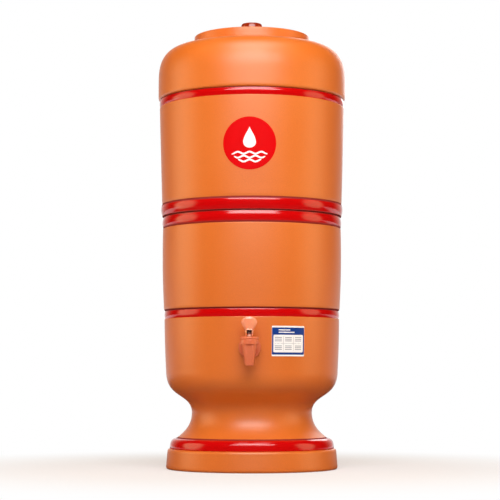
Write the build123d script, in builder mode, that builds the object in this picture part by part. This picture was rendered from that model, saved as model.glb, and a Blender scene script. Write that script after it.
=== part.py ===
from build123d import *
import os
from math import cos, pi, radians, sin

# Two-chamber clay water filter with a ceramic candle, a float valve and a lever tap.
# Millimetres. The origin is the middle of the foot's underside, +Z is up, the tap faces -Y.

# ------------------------------------------------------------ driving dimensions: clay
clay_wall = 8.5
groove_depth = 0.7  # the small grooves that part the painted beads from the plain clay
groove_width = 0.8
edge_round = 1.2  # rounding of the rims

# Foot and lower chamber, from the table up
plinth_height = 27.0
plinth_radius = 114.1
plinth_draft = 1.6  # how much narrower the plinth is at its top
plinth_lower_edge = 3.5
plinth_upper_edge = 4.5
foot_bead_height = 13.8
foot_bead_inset = 3.2  # from the plinth's upper edge to the bead
foot_bead_slope = 9.3  # how far the bead leans inward as it rises
flare_height = 32.7
waist_radius = 80.1
bowl_height = 55.5
lower_wall_height = 68.8
lower_wall_flare = 2.2  # how much wider the wall is at its top than where the bowl ends
lower_wall_bulge = 0.45
low_bead_height = 10.0
low_bead_inset = 1.0  # from the tank's foot to the ends of the low bead
low_bead_bulge = 0.5
tank_step_height = 8.2  # the clay swells out over the low bead
tank_wall_height = 102.3
tank_taper = 1.6  # how much narrower the tank is at its foot than at the rim
tank_bulge = 1.0
rim_radius = 119.4
rim_bead_height = 16.0
rim_bead_bulge = 0.7
hollow_rise = 8.2  # the foot's hollow reaches this far above the waist
bowl_floor = 10.0

# Upper chamber
nest_depth = 17.3  # the spigot's length inside the lower chamber
nest_clearance = 1.6
base_bead_height = 15.7
base_bead_overhang = 1.6  # beyond the lower rim
base_bead_bulge = 1.0
base_groove_height = 5.0
upper_foot_inset = 0.2  # from the base bead to the wall above it
upper_wall_flare = 3.4  # how much wider the wall is at its top
upper_wall_height = 126.6
upper_wall_bulge = 0.15
top_bead_height = 8.6
top_bead_bulge = 0.4
top_rim_edge = 1.8
upper_floor = 12.0
floor_round_height = 24.0  # the wall rounds into the floor over this height
floor_round_width = 27.0
floor_round_pull = 3.4  # how far inside the spigot's side that round is aimed
candle_hole_clearance = 1.2

# Lid
lid_overhang = 1.8  # beyond the upper rim
lid_edge_width = 6.0
lid_edge_height = 10.0
lid_skirt_height = 12.7  # upright side above the rounded lower edge
dome_height = 49.7
dome_width = 45.5  # from the side to where the dome is level
dome_power = 2.815  # superellipse: 2 is an ellipse, larger is squarer
dome_steps = 7
collar_inset = 2.9  # from where the dome is level to the collar's side
collar_height = 14.6
collar_edge = 1.5
knob_radius = 14.4
knob_neck_radius = 10.6
knob_neck_height = 7.0
knob_height = 19.6
lip_depth = 8.0
lip_width = 7.0
lip_clearance = 1.8

# Shares of a curve's span, which place its control points
foot_bead_fullness = 0.65
foot_bead_shoulder = 0.25
flare_foot_run = 0.36
flare_foot_rise = 0.17
flare_waist_rise = 0.45
bowl_waist_rise = 0.47
bowl_side_rise = 0.32
bowl_floor_rise = 0.5
bowl_floor_run = 0.45
base_bead_widest = 0.6
base_groove_deepest = 0.4
knob_undercut = 0.15
knob_neck_rise = 0.7
knob_swell_rise = 0.9
knob_widest = 0.45
knob_shoulder = 0.85
knob_crown = 0.75
round_pull = 0.55  # makes a Bezier quarter round

# ------------------------------------------------------------ driving dimensions: stickers
sticker_thickness = 0.25
sticker_gap = 0.05
badge_radius = 34.0
badge_height = 84.5  # its centre above the lower chamber's rim
label_width = 45.4
label_height = 38.8
label_corner = 1.2
label_rise = 8.3  # its centre above the tap's shank
label_angle = 25.2  # round from the front towards +X, in degrees

# ------------------------------------------------------------ driving dimensions: candle
candle_radius = 27.5
candle_height = 97.0
candle_wall = 7.0
candle_base_radius = 31.0
candle_base_floor = 4.0
candle_cup_depth = 7.0
candle_fit = 0.2
carbon_fill_share = 0.75  # how much of the core's height the carbon takes
stem_radius = 5.0
stem_bore_radius = 2.2
washer_radius = 14.0
washer_thickness = 2.0
wing_nut_height = 9.0
wing_nut_radius = 9.0
wing_span = 34.0
wing_thickness = 4.0
stem_below_nut = 15.0

# ------------------------------------------------------------ driving dimensions: float valve
float_radius = 26.0
float_height = 22.0
float_wall = 1.3
float_cap_thickness = 2.0
float_boss_radius = 6.5
float_boss_height = 5.0
float_pad_radius = 5.0
float_pad_thickness = 3.0
float_travel = 8.0
cage_hub_radius = 10.5
cage_nozzle_length = 6.0
cage_thread_length = 9.0  # how much of the candle's stem the cage takes
cage_arm_thickness = 3.0
cage_arm_width = 6.0
cage_leg_gap = 0.8
cage_leg_thickness = 3.0
cage_foot_reach = 5.0
cage_leg_count = 3

# ------------------------------------------------------------ driving dimensions: tap
tap_height = 159.0
spot_face_depth = 1.0
nut_spot_depth = 0.1  # how far the inner spot face is cut into the wall
gasket_thickness = 2.0
gasket_radius = 13.6
flange_radius = 14.2
flange_thickness = 2.6
flange_edge = 0.8
shank_radius = 7.5
shank_bore_radius = 2.8
shank_end_length = 3.0
wall_hole_clearance = 0.5
barrel_reach = 14.4  # from the flange's face to the barrel's axis
barrel_width = 18.4
barrel_corner = 4.5
barrel_rise = 3.5  # the barrel's shoulder above the shank's axis
barrel_wall = 2.1
collar_thread_height = 5.5
collar_thread_radius = 9.0
spout_drop = 23.3  # the spout's tip below the shank's axis
spout_width = 11.0
spout_corner = 3.2
spout_bore_radius = 3.0
seat_drop = 7.0  # the valve seat below the shank's axis
nut_radius = 13.0
nut_thickness = 8.0
bonnet_radius = 11.7
bonnet_height = 9.8
bonnet_lip = 3.0
bonnet_relief = 0.35
bonnet_roof = 1.4
thread_clearance = 0.05
running_clearance = 0.05
rod_radius = 1.5
rod_button_radius = 3.0
rod_button_height = 1.2
piston_gap = 0.15
piston_height = 2.4
piston_lift = 0.4  # the piston above the shank's bore
skirt_radius = 2.9  # the rod flares into a drip skirt over the bonnet
skirt_height = 3.4
skirt_gap = 0.15
ring_section = 1.4
plug_radius = 4.6
plug_height = 6.0
plug_floor = 1.2
spring_radius = 4.4
spring_wire = 0.6
spring_turns = 4
pin_radius = 1.0
pin_height = 4.5  # the pin's axis above the bonnet
head_radius = 2.2
head_width = 3.4
lever_slot = 6.3
lever_slot_height = 3.9  # above the pin
lever_leg_width = 9.8
lever_neck_width = 10.8
lever_width = 20.2
lever_widest = 14.3  # above the pin
lever_height = 20.7  # above the pin
lever_top_depth = 3.0
lever_edge = 1.0
lever_lean = 0.55  # share of the foot's depth where the plate's middle stands
lever_waist_rise = 0.6  # shares that shape the lever's side
lever_back_swell = 0.7
lever_front_swell = 0.9
lever_neck_rise = 0.2  # shares that shape the lever's front
lever_flare_rise = 0.69
lever_shoulder_rise = 0.6
lever_crown_run = 0.6
lift = 3.0
lever_swing = 75.0
cam_gap = 0.1

# ------------------------------------------------------------ radii worked out from them
tank_foot_radius = rim_radius - tank_taper
low_bead_radius = tank_foot_radius - low_bead_inset
bowl_radius = low_bead_radius - lower_wall_flare  # where the bowl turns into the upright wall
base_bead_radius = rim_radius + base_bead_overhang
upper_foot_radius = base_bead_radius - upper_foot_inset
upper_rim_radius = upper_foot_radius + upper_wall_flare
lid_radius = upper_rim_radius + lid_overhang
level_radius = lid_radius - dome_width
collar_radius = level_radius - collar_inset

# ------------------------------------------------------------ heights worked out from them
plinth_top_radius = plinth_radius - plinth_draft
foot_bead_radius = plinth_top_radius - foot_bead_inset
flare_radius = foot_bead_radius - foot_bead_slope - groove_depth
z_foot_bead = plinth_height + foot_bead_height
z_flare = z_foot_bead + groove_width
z_waist = z_flare + flare_height
z_bowl = z_waist + bowl_height
z_low_bead = z_bowl + lower_wall_height
z_tank_step = z_low_bead + low_bead_height
z_tank = z_tank_step + tank_step_height
z_rim_bead = z_tank + tank_wall_height
z_rim = z_rim_bead + rim_bead_height
z_hollow = z_waist + hollow_rise
z_bowl_floor = z_hollow + bowl_floor

z_base_groove = z_rim + base_bead_height
z_upper_wall = z_base_groove + base_groove_height
z_top_bead = z_upper_wall + upper_wall_height
z_top_rim = z_top_bead + top_bead_height + top_rim_edge
z_under_floor = z_rim - nest_depth
z_upper_floor = z_under_floor + upper_floor

z_skirt = z_top_rim + lid_edge_height
z_dome = z_skirt + lid_skirt_height
z_dome_top = z_dome + dome_height
z_collar = z_dome_top + collar_height

# Inner radii of the clay
waist_inner = waist_radius - clay_wall
bowl_inner = bowl_radius - clay_wall
rim_inner = rim_radius - clay_wall
upper_foot_inner = upper_foot_radius - clay_wall
upper_rim_inner = upper_rim_radius - clay_wall
spigot_radius = rim_inner - nest_clearance


def between(low, high, share):
    """The value this share of the way from low to high."""
    return low + (high - low) * share


def wall_radius(z, foot, head, bulge, clear=0.0):
    """Radius of a gently bulging wall between two (radius, z) ends, and clear beyond it."""
    share = (z - foot[1]) / (head[1] - foot[1])
    return between(foot[0], head[0], share) + 4 * bulge * share * (1 - share) + clear


def wall_curve(foot, head, bulge, clear=0.0):
    """The wall's outline between its two ends, moved outward by clear."""
    middle_z = between(foot[1], head[1], 0.5)
    middle = (wall_radius(middle_z, foot, head, bulge, clear), middle_z)
    return ThreePointArc((foot[0] + clear, foot[1]), middle, (head[0] + clear, head[1]))


lower_wall = ((bowl_radius, z_bowl), (low_bead_radius, z_low_bead), lower_wall_bulge)
upper_wall = ((upper_foot_radius, z_upper_wall), (upper_rim_radius, z_top_bead), upper_wall_bulge)


def lower_inner_radius(z):
    """Inner radius of the lower chamber's wall, which is straight from the bowl to the rim."""
    return between(bowl_inner, rim_inner, (z - z_bowl) / (z_rim - z_bowl))


# The tap's places along -Y, from the wall outward and inward
tap_outer_face = wall_radius(tap_height, *lower_wall) - spot_face_depth
flange_back = tap_outer_face + gasket_thickness
flange_front = flange_back + flange_thickness
barrel_axis = flange_front + barrel_reach
tap_inner_face = lower_inner_radius(tap_height) + nut_spot_depth
nut_back = tap_inner_face - gasket_thickness
shank_end = nut_back - nut_thickness - shank_end_length
tap_plane = Plane(origin=(0, 0, tap_height), x_dir=(1, 0, 0), z_dir=(0, -1, 0))

# The tap's heights
z_shoulder = tap_height + barrel_rise
z_thread_top = z_shoulder + collar_thread_height
z_spout = tap_height - spout_drop
z_seat = tap_height - seat_drop
z_bonnet = z_shoulder + bonnet_height
z_spring_top = z_bonnet - bonnet_roof
z_piston = tap_height + shank_bore_radius + piston_lift
z_spring = z_piston + piston_height
z_pin = z_bonnet + pin_height
cavity_radius = barrel_width / 2 - barrel_wall - (barrel_width - spout_width) / 2 * (
    (z_shoulder - z_seat) / (z_shoulder - z_spout)
)


def barrel_plane(z):
    """A level plane with its origin on the tap barrel's axis."""
    return Plane(origin=(0, -barrel_axis, z))


# ------------------------------------------------------------ clay chambers
# The foot, the waist and the lower chamber are one piece of clay. The foot is hollow and open below.
foot_bore_radius = plinth_radius - clay_wall
flare_inner = flare_radius - clay_wall
hollow_round = hollow_rise
bowl_floor_radius = waist_inner - hollow_round / 2
z_flare_foot = between(z_flare, z_waist, flare_foot_rise)
z_flare_waist = between(z_flare, z_waist, flare_waist_rise)
z_hollow_side = plinth_height / 2

with BuildPart() as lower_chamber:
    with BuildSketch(Plane.XZ):
        with BuildLine():
            # plinth
            Line((foot_bore_radius, 0), (plinth_radius - plinth_lower_edge, 0))
            Bezier(
                (plinth_radius - plinth_lower_edge, 0),
                (plinth_radius, 0),
                (plinth_radius, plinth_lower_edge),
            )
            Line(
                (plinth_radius, plinth_lower_edge),
                (plinth_top_radius, plinth_height - plinth_upper_edge),
            )
            Bezier(
                (plinth_top_radius, plinth_height - plinth_upper_edge),
                (plinth_top_radius, plinth_height),
                (foot_bead_radius - groove_depth, plinth_height),
            )
            # foot bead, painted
            Line(
                (foot_bead_radius - groove_depth, plinth_height),
                (foot_bead_radius, plinth_height + groove_width),
            )
            Bezier(
                (foot_bead_radius, plinth_height + groove_width),
                (foot_bead_radius, between(plinth_height, z_foot_bead, foot_bead_fullness)),
                (foot_bead_radius - foot_bead_slope * foot_bead_shoulder, z_foot_bead),
                (foot_bead_radius - foot_bead_slope, z_foot_bead),
            )
            Line((foot_bead_radius - foot_bead_slope, z_foot_bead), (flare_radius, z_flare))
            # flare to the waist, then the bowl's underside
            Bezier(
                (flare_radius, z_flare),
                (between(flare_radius, waist_radius, flare_foot_run), z_flare_foot),
                (waist_radius, z_flare_waist),
                (waist_radius, z_waist),
            )
            Bezier(
                (waist_radius, z_waist),
                (waist_radius, between(z_waist, z_bowl, bowl_waist_rise)),
                (bowl_radius, between(z_waist, z_bowl, bowl_side_rise)),
                (bowl_radius, z_bowl),
            )
            wall_curve(*lower_wall)
            # low bead, painted
            Line((low_bead_radius, z_low_bead), (low_bead_radius - groove_depth, z_low_bead))
            wall_curve(
                (low_bead_radius - groove_depth, z_low_bead),
                (low_bead_radius - groove_depth, z_tank_step),
                groove_depth + low_bead_bulge,
            )
            # the clay swells out above it and runs up to the rim
            Bezier(
                (low_bead_radius - groove_depth, z_tank_step),
                (tank_foot_radius, z_tank_step),
                (tank_foot_radius, z_tank),
            )
            wall_curve((tank_foot_radius, z_tank), (rim_radius, z_rim_bead), tank_bulge)
            # rim bead, painted
            Line((rim_radius, z_rim_bead), (rim_radius - groove_depth, z_rim_bead))
            wall_curve(
                (rim_radius - groove_depth, z_rim_bead),
                (rim_radius - groove_depth, z_rim - edge_round),
                groove_depth + rim_bead_bulge,
            )
            Bezier(
                (rim_radius - groove_depth, z_rim - edge_round),
                (rim_radius - groove_depth, z_rim),
                (rim_radius - groove_depth - edge_round, z_rim),
            )
            # inside: the rim, the wall and the bowl
            Line((rim_radius - groove_depth - edge_round, z_rim), (rim_inner + edge_round, z_rim))
            Bezier(
                (rim_inner + edge_round, z_rim),
                (rim_inner, z_rim),
                (rim_inner, z_rim - edge_round),
            )
            Line((rim_inner, z_rim - edge_round), (bowl_inner, z_bowl))
            Bezier(
                (bowl_inner, z_bowl),
                (bowl_inner, between(z_bowl_floor, z_bowl, bowl_floor_rise)),
                (between(bowl_floor_radius, bowl_inner, bowl_floor_run), z_bowl_floor),
                (bowl_floor_radius, z_bowl_floor),
            )
            Line((bowl_floor_radius, z_bowl_floor), (0, z_bowl_floor))
            # underneath: the foot's hollow
            Line((0, z_bowl_floor), (0, z_hollow))
            Line((0, z_hollow), (waist_inner - hollow_round, z_hollow))
            Bezier(
                (waist_inner - hollow_round, z_hollow),
                (waist_inner, z_hollow),
                (waist_inner, z_waist),
            )
            Bezier(
                (waist_inner, z_waist),
                (waist_inner, z_flare_waist),
                (between(flare_inner, waist_inner, flare_foot_run), z_flare_foot),
                (flare_inner, z_flare),
            )
            Line((flare_inner, z_flare), (foot_bore_radius, z_hollow_side))
            Line((foot_bore_radius, z_hollow_side), (foot_bore_radius, 0))
        make_face()
    revolve(axis=Axis.Z)
    # the tap's hole, with a flat spot face on each side of the wall
    with BuildSketch(tap_plane.offset(tap_inner_face - clay_wall)):
        Circle(shank_radius + wall_hole_clearance)
    extrude(amount=clay_wall * 3, mode=Mode.SUBTRACT)
    with BuildSketch(tap_plane.offset(tap_outer_face)):
        Circle(flange_radius)
    extrude(amount=clay_wall, mode=Mode.SUBTRACT)
    with BuildSketch(tap_plane.offset(tap_inner_face)):
        Circle(flange_radius)
    extrude(amount=-clay_wall, mode=Mode.SUBTRACT)

# The upper chamber's spigot nests in the lower rim, and its floor has the candle's hole.
candle_hole_radius = stem_radius + candle_hole_clearance
base_bead_foot = base_bead_radius - groove_depth
upper_floor_radius = spigot_radius - floor_round_width

with BuildPart() as upper_chamber:
    with BuildSketch(Plane.XZ):
        with BuildLine():
            Line((candle_hole_radius, z_under_floor), (spigot_radius - edge_round, z_under_floor))
            Bezier(
                (spigot_radius - edge_round, z_under_floor),
                (spigot_radius, z_under_floor),
                (spigot_radius, z_under_floor + edge_round),
            )
            Line((spigot_radius, z_under_floor + edge_round), (spigot_radius, z_rim))
            Line((spigot_radius, z_rim), (base_bead_foot - edge_round, z_rim))
            # base bead, painted
            Bezier(
                (base_bead_foot - edge_round, z_rim),
                (base_bead_foot, z_rim),
                (base_bead_foot, z_rim + edge_round),
            )
            ThreePointArc(
                (base_bead_foot, z_rim + edge_round),
                (
                    base_bead_radius + base_bead_bulge,
                    between(z_rim, z_base_groove, base_bead_widest),
                ),
                (base_bead_radius, z_base_groove),
            )
            # a shallow hollow runs round above it
            ThreePointArc(
                (base_bead_radius, z_base_groove),
                (
                    upper_foot_radius - groove_depth,
                    between(z_base_groove, z_upper_wall, base_groove_deepest),
                ),
                (upper_foot_radius, z_upper_wall),
            )
            wall_curve(*upper_wall)
            # top bead, painted
            Line((upper_rim_radius, z_top_bead), (upper_rim_radius - groove_depth, z_top_bead))
            wall_curve(
                (upper_rim_radius - groove_depth, z_top_bead),
                (upper_rim_radius - groove_depth, z_top_rim - top_rim_edge),
                groove_depth + top_bead_bulge,
            )
            Bezier(
                (upper_rim_radius - groove_depth, z_top_rim - top_rim_edge),
                (upper_rim_radius - groove_depth, z_top_rim),
                (upper_rim_radius - groove_depth - top_rim_edge, z_top_rim),
            )
            # inside
            Line(
                (upper_rim_radius - groove_depth - top_rim_edge, z_top_rim),
                (upper_rim_inner + edge_round, z_top_rim),
            )
            Bezier(
                (upper_rim_inner + edge_round, z_top_rim),
                (upper_rim_inner, z_top_rim),
                (upper_rim_inner, z_top_rim - edge_round),
            )
            Line(
                (upper_rim_inner, z_top_rim - edge_round),
                (upper_foot_inner, z_upper_floor + floor_round_height),
            )
            Bezier(
                (upper_foot_inner, z_upper_floor + floor_round_height),
                (spigot_radius - floor_round_pull, z_upper_floor),
                (upper_floor_radius, z_upper_floor),
            )
            Line((upper_floor_radius, z_upper_floor), (candle_hole_radius, z_upper_floor))
            Line((candle_hole_radius, z_upper_floor), (candle_hole_radius, z_under_floor))
        make_face()
    revolve(axis=Axis.Z)


# ------------------------------------------------------------ lid
def dome_points(width, height):
    """Superellipse quarter from the lid's side, at z_dome, up to where the dome is level."""
    turns = [pi / 2 * step / dome_steps for step in range(1, dome_steps)]
    power = 2 / dome_power
    curve = [(level_radius + width * cos(t) ** power, z_dome + height * sin(t) ** power) for t in turns]
    start = (level_radius + width, z_dome)
    return [start, *curve, (level_radius, z_dome + height)]


lip_radius = upper_rim_inner - lip_clearance
lip_inner = lip_radius - lip_width
lid_inner = lid_radius - clay_wall
outer_dome = dome_points(dome_width, dome_height)
inner_dome = dome_points(dome_width - clay_wall, dome_height - clay_wall)
collar_inner = collar_radius - clay_wall
z_dome_inner = z_dome_top - clay_wall
z_knob = z_collar + knob_height
z_knob_neck = z_collar + knob_neck_height
z_knob_widest = between(z_knob_neck, z_knob, knob_widest)

with BuildPart() as lid:
    with BuildSketch(Plane.XZ):
        with BuildLine():
            # locating lip, seat and rounded lower edge
            Line((lip_inner, z_top_rim - lip_depth), (lip_radius, z_top_rim - lip_depth))
            Line((lip_radius, z_top_rim - lip_depth), (lip_radius, z_top_rim))
            Line((lip_radius, z_top_rim), (lid_radius - lid_edge_width, z_top_rim))
            Bezier(
                (lid_radius - lid_edge_width, z_top_rim),
                (lid_radius - lid_edge_width * (1 - round_pull), z_top_rim),
                (lid_radius, z_skirt - lid_edge_height * round_pull),
                (lid_radius, z_skirt),
            )
            Line((lid_radius, z_skirt), (lid_radius, z_dome))
            Spline(*outer_dome, tangents=[(0, 1), (-1, 0)])
            # collar
            Line((level_radius, z_dome_top), (collar_radius, z_dome_top))
            Line((collar_radius, z_dome_top), (collar_radius, z_collar - collar_edge))
            Bezier(
                (collar_radius, z_collar - collar_edge),
                (collar_radius, z_collar),
                (collar_radius - collar_edge, z_collar),
            )
            Line((collar_radius - collar_edge, z_collar), (knob_neck_radius, z_collar))
            # knob, painted
            Bezier(
                (knob_neck_radius, z_collar),
                (
                    between(knob_neck_radius, 0, knob_undercut),
                    between(z_collar, z_knob_neck, knob_neck_rise),
                ),
                (knob_radius, between(z_collar, z_knob_neck, knob_swell_rise)),
                (knob_radius, z_knob_widest),
            )
            Bezier(
                (knob_radius, z_knob_widest),
                (knob_radius, between(z_knob_neck, z_knob, knob_shoulder)),
                (knob_radius * knob_crown, z_knob),
                (0, z_knob),
            )
            # inside of the dome
            Line((0, z_knob), (0, z_collar - clay_wall))
            Line((0, z_collar - clay_wall), (collar_inner - collar_edge, z_collar - clay_wall))
            Line(
                (collar_inner - collar_edge, z_collar - clay_wall),
                (collar_inner, z_dome_inner),
            )
            Line((collar_inner, z_dome_inner), (level_radius, z_dome_inner))
            Spline(*reversed(inner_dome), tangents=[(1, 0), (0, -1)])
            Line((lid_inner, z_dome), (lid_inner, z_skirt))
            Line((lid_inner, z_skirt), (lip_inner, z_top_rim + clay_wall / 2))
            Line((lip_inner, z_top_rim + clay_wall / 2), (lip_inner, z_top_rim - lip_depth))
        make_face()
    revolve(axis=Axis.Z)


# ------------------------------------------------------------ stickers
def sleeve_outline(foot, head, bulge):
    """Outline of a thin sleeve that lies just off a wall."""
    inner = sticker_gap
    outer = sticker_gap + sticker_thickness
    wall_curve(foot, head, bulge, inner)
    Line((head[0] + inner, head[1]), (head[0] + outer, head[1]))
    wall_curve(foot, head, bulge, outer)
    Line((foot[0] + outer, foot[1]), (foot[0] + inner, foot[1]))


with BuildPart() as badge:
    with BuildSketch(Plane.XZ):
        with BuildLine():
            sleeve_outline(*upper_wall)
        make_face()
    revolve(axis=Axis.Z)
    with BuildSketch(Plane(origin=(0, 0, z_rim + badge_height), x_dir=(1, 0, 0), z_dir=(0, -1, 0))):
        Circle(badge_radius)
    extrude(amount=lid_radius, mode=Mode.INTERSECT)

label_turn = radians(label_angle)
label_plane = Plane(
    origin=(0, 0, tap_height + label_rise),
    x_dir=(cos(label_turn), sin(label_turn), 0),
    z_dir=(sin(label_turn), -cos(label_turn), 0),
)

with BuildPart() as info_label:
    with BuildSketch(Plane.XZ):
        with BuildLine():
            sleeve_outline(*lower_wall)
        make_face()
    revolve(axis=Axis.Z)
    with BuildSketch(label_plane):
        RectangleRounded(label_width, label_height, label_corner)
    extrude(amount=lid_radius, mode=Mode.INTERSECT)

# ------------------------------------------------------------ ceramic candle
z_candle_base = z_upper_floor + washer_thickness
z_candle_seat = z_candle_base + candle_base_floor
z_candle_top = z_candle_seat + candle_height
z_lower_washer = z_under_floor - washer_thickness
z_wing_nut = z_lower_washer - wing_nut_height
z_stem_end = z_wing_nut - stem_below_nut
core_radius = candle_radius - candle_wall
z_carbon_top = z_candle_seat + (candle_height - candle_wall) * carbon_fill_share

with BuildPart() as candle_base:
    with BuildSketch(Plane.XY.offset(z_candle_base)):
        Circle(candle_base_radius)
    extrude(amount=candle_base_floor + candle_cup_depth)
    with BuildSketch(Plane.XY.offset(z_candle_seat)):
        Circle(candle_radius + candle_fit)
    extrude(amount=candle_cup_depth, mode=Mode.SUBTRACT)
    with BuildSketch(Plane.XY.offset(z_candle_base)):
        Circle(stem_radius)
    extrude(amount=z_stem_end - z_candle_base)
    with BuildSketch(Plane.XY.offset(z_stem_end)):
        Circle(stem_bore_radius)
    extrude(amount=z_candle_seat - z_stem_end, mode=Mode.SUBTRACT)
    rim_edges = candle_base.edges().filter_by(GeomType.CIRCLE).group_by(Axis.Z)[-1]
    fillet(rim_edges.sort_by(SortBy.LENGTH)[-1], radius=(candle_base_radius - candle_radius) / 3)

# The shell is a domed cup, open below, that stands in the base's cup.
with BuildPart() as candle_shell:
    with BuildSketch(Plane.XZ):
        with BuildLine():
            Line((core_radius, z_candle_seat), (candle_radius, z_candle_seat))
            Line((candle_radius, z_candle_seat), (candle_radius, z_candle_top - candle_radius))
            RadiusArc(
                (candle_radius, z_candle_top - candle_radius), (0, z_candle_top), -candle_radius
            )
            Line((0, z_candle_top), (0, z_candle_top - candle_wall))
            RadiusArc(
                (0, z_candle_top - candle_wall),
                (core_radius, z_candle_top - candle_radius),
                core_radius,
            )
            Line((core_radius, z_candle_top - candle_radius), (core_radius, z_candle_seat))
        make_face()
    revolve(axis=Axis.Z)

with BuildPart() as candle_carbon:
    with BuildSketch(Plane.XY.offset(z_candle_seat)):
        Circle(core_radius - candle_fit)
    extrude(amount=min(z_carbon_top, z_candle_top - candle_radius) - z_candle_seat)


def stem_washer():
    """Ring that fits over the candle's stem."""
    Circle(washer_radius)
    Circle(stem_radius + running_clearance, mode=Mode.SUBTRACT)


with BuildPart() as candle_upper_washer:
    with BuildSketch(Plane.XY.offset(z_upper_floor)):
        stem_washer()
    extrude(amount=washer_thickness)

with BuildPart() as candle_lower_washer:
    with BuildSketch(Plane.XY.offset(z_lower_washer)):
        stem_washer()
    extrude(amount=washer_thickness)

with BuildPart() as candle_wing_nut:
    with BuildSketch(Plane.XY.offset(z_wing_nut)):
        Circle(wing_nut_radius)
        SlotOverall(wing_span, wing_thickness)
        Circle(stem_radius + thread_clearance, mode=Mode.SUBTRACT)
    extrude(amount=wing_nut_height)

# ------------------------------------------------------------ float valve
# The cage screws onto the candle's stem. The float rises in it and shuts the nozzle with its pad.
z_nozzle = z_stem_end - cage_nozzle_length
z_cage_top = z_stem_end + cage_thread_length
z_pad_top = z_nozzle - float_travel
z_float_cap = z_pad_top - float_pad_thickness - float_boss_height
z_float = z_float_cap - float_height
cage_leg_inner = float_radius + cage_leg_gap
cage_leg_outer = cage_leg_inner + cage_leg_thickness
z_cage_arm = z_nozzle + cage_nozzle_length / 2
z_cage_foot = z_float - cage_leg_thickness
cage_arm_middle = cage_leg_outer / 2
cage_foot_inner = float_radius - cage_foot_reach

with BuildPart() as float_cage:
    with BuildSketch(Plane.XY.offset(z_nozzle)):
        Circle(cage_hub_radius)
    extrude(amount=z_cage_top - z_nozzle)
    with BuildSketch(Plane.XY.offset(z_cage_arm)):
        with PolarLocations(cage_arm_middle, cage_leg_count):
            Rectangle(cage_leg_outer, cage_arm_width)
    extrude(amount=cage_arm_thickness)
    with BuildSketch(Plane.XY.offset(z_cage_foot)):
        with PolarLocations(between(cage_leg_inner, cage_leg_outer, 0.5), cage_leg_count):
            Rectangle(cage_leg_thickness, cage_arm_width)
    extrude(amount=z_cage_arm + cage_arm_thickness - z_cage_foot)
    with BuildSketch(Plane.XY.offset(z_cage_foot)):
        with PolarLocations(between(cage_foot_inner, cage_leg_outer, 0.5), cage_leg_count):
            Rectangle(cage_leg_outer - cage_foot_inner, cage_arm_width)
    extrude(amount=cage_leg_thickness)
    with BuildSketch(Plane.XY.offset(z_stem_end)):
        Circle(stem_radius + thread_clearance)
    extrude(amount=z_cage_top - z_stem_end, mode=Mode.SUBTRACT)
    with BuildSketch(Plane.XY.offset(z_nozzle)):
        Circle(stem_bore_radius)
    extrude(amount=cage_nozzle_length, mode=Mode.SUBTRACT)

with BuildPart() as float_shell:
    with BuildSketch(Plane.XY.offset(z_float)):
        Circle(float_radius)
    extrude(amount=float_height)
    fillet(float_shell.edges().group_by(Axis.Z)[0], radius=float_wall * 2)
    with BuildSketch(Plane.XY.offset(z_float + float_wall)):
        Circle(float_radius - float_wall)
    extrude(amount=float_height - float_wall, mode=Mode.SUBTRACT)

with BuildPart() as float_cap:
    with BuildSketch(Plane.XY.offset(z_float_cap)):
        Circle(float_radius)
    extrude(amount=float_cap_thickness)
    with BuildSketch(Plane.XY.offset(z_float_cap)):
        Circle(float_boss_radius)
    extrude(amount=float_boss_height)

with BuildPart() as float_pad:
    with BuildSketch(Plane.XY.offset(z_float_cap + float_boss_height)):
        Circle(float_pad_radius)
    extrude(amount=float_pad_thickness)

# ------------------------------------------------------------ tap: fixed parts
with BuildPart() as tap_body:
    # flange and threaded shank
    with BuildSketch(tap_plane.offset(flange_back)):
        Circle(flange_radius)
    extrude(amount=flange_thickness)
    fillet(
        tap_body.edges().filter_by(GeomType.CIRCLE).sort_by(Axis.Y)[0],
        radius=min(flange_edge, flange_thickness / 2),
    )
    with BuildSketch(tap_plane.offset(shank_end)):
        Circle(shank_radius)
    extrude(amount=flange_back - shank_end)
    # neck to the barrel
    with BuildSketch(tap_plane.offset(flange_front)):
        Rectangle(barrel_width - barrel_corner, barrel_rise * 2)
    extrude(amount=barrel_reach)
    # barrel, narrowing to the spout
    with BuildSketch(barrel_plane(z_spout)):
        RectangleRounded(spout_width, spout_width, spout_corner)
    with BuildSketch(barrel_plane(z_shoulder)):
        RectangleRounded(barrel_width, barrel_width, barrel_corner)
    loft()
    fillet(tap_body.edges().group_by(Axis.Z)[0], radius=spout_corner / 2)
    with BuildSketch(barrel_plane(z_shoulder)):
        Circle(collar_thread_radius)
    extrude(amount=collar_thread_height)
    # water way: the barrel's cavity, the outlet and the bore through the shank
    with BuildSketch(barrel_plane(z_seat)):
        Circle(cavity_radius)
    extrude(amount=z_thread_top - z_seat, mode=Mode.SUBTRACT)
    with BuildSketch(barrel_plane(z_spout)):
        Circle(spout_bore_radius)
    extrude(amount=z_seat - z_spout, mode=Mode.SUBTRACT)
    with BuildSketch(tap_plane.offset(shank_end)):
        Circle(shank_bore_radius)
    extrude(amount=barrel_axis - shank_end, mode=Mode.SUBTRACT)


def gasket():
    """Ring that fits over the tap's shank."""
    Circle(gasket_radius)
    Circle(shank_radius + running_clearance, mode=Mode.SUBTRACT)


with BuildPart() as tap_outer_gasket:
    with BuildSketch(tap_plane.offset(tap_outer_face)):
        gasket()
    extrude(amount=gasket_thickness)

with BuildPart() as tap_inner_gasket:
    with BuildSketch(tap_plane.offset(nut_back)):
        gasket()
    extrude(amount=gasket_thickness)

with BuildPart() as tap_nut:
    with BuildSketch(tap_plane.offset(nut_back - nut_thickness)):
        RegularPolygon(nut_radius, 6)
        Circle(shank_radius + thread_clearance, mode=Mode.SUBTRACT)
    extrude(amount=nut_thickness)

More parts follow.
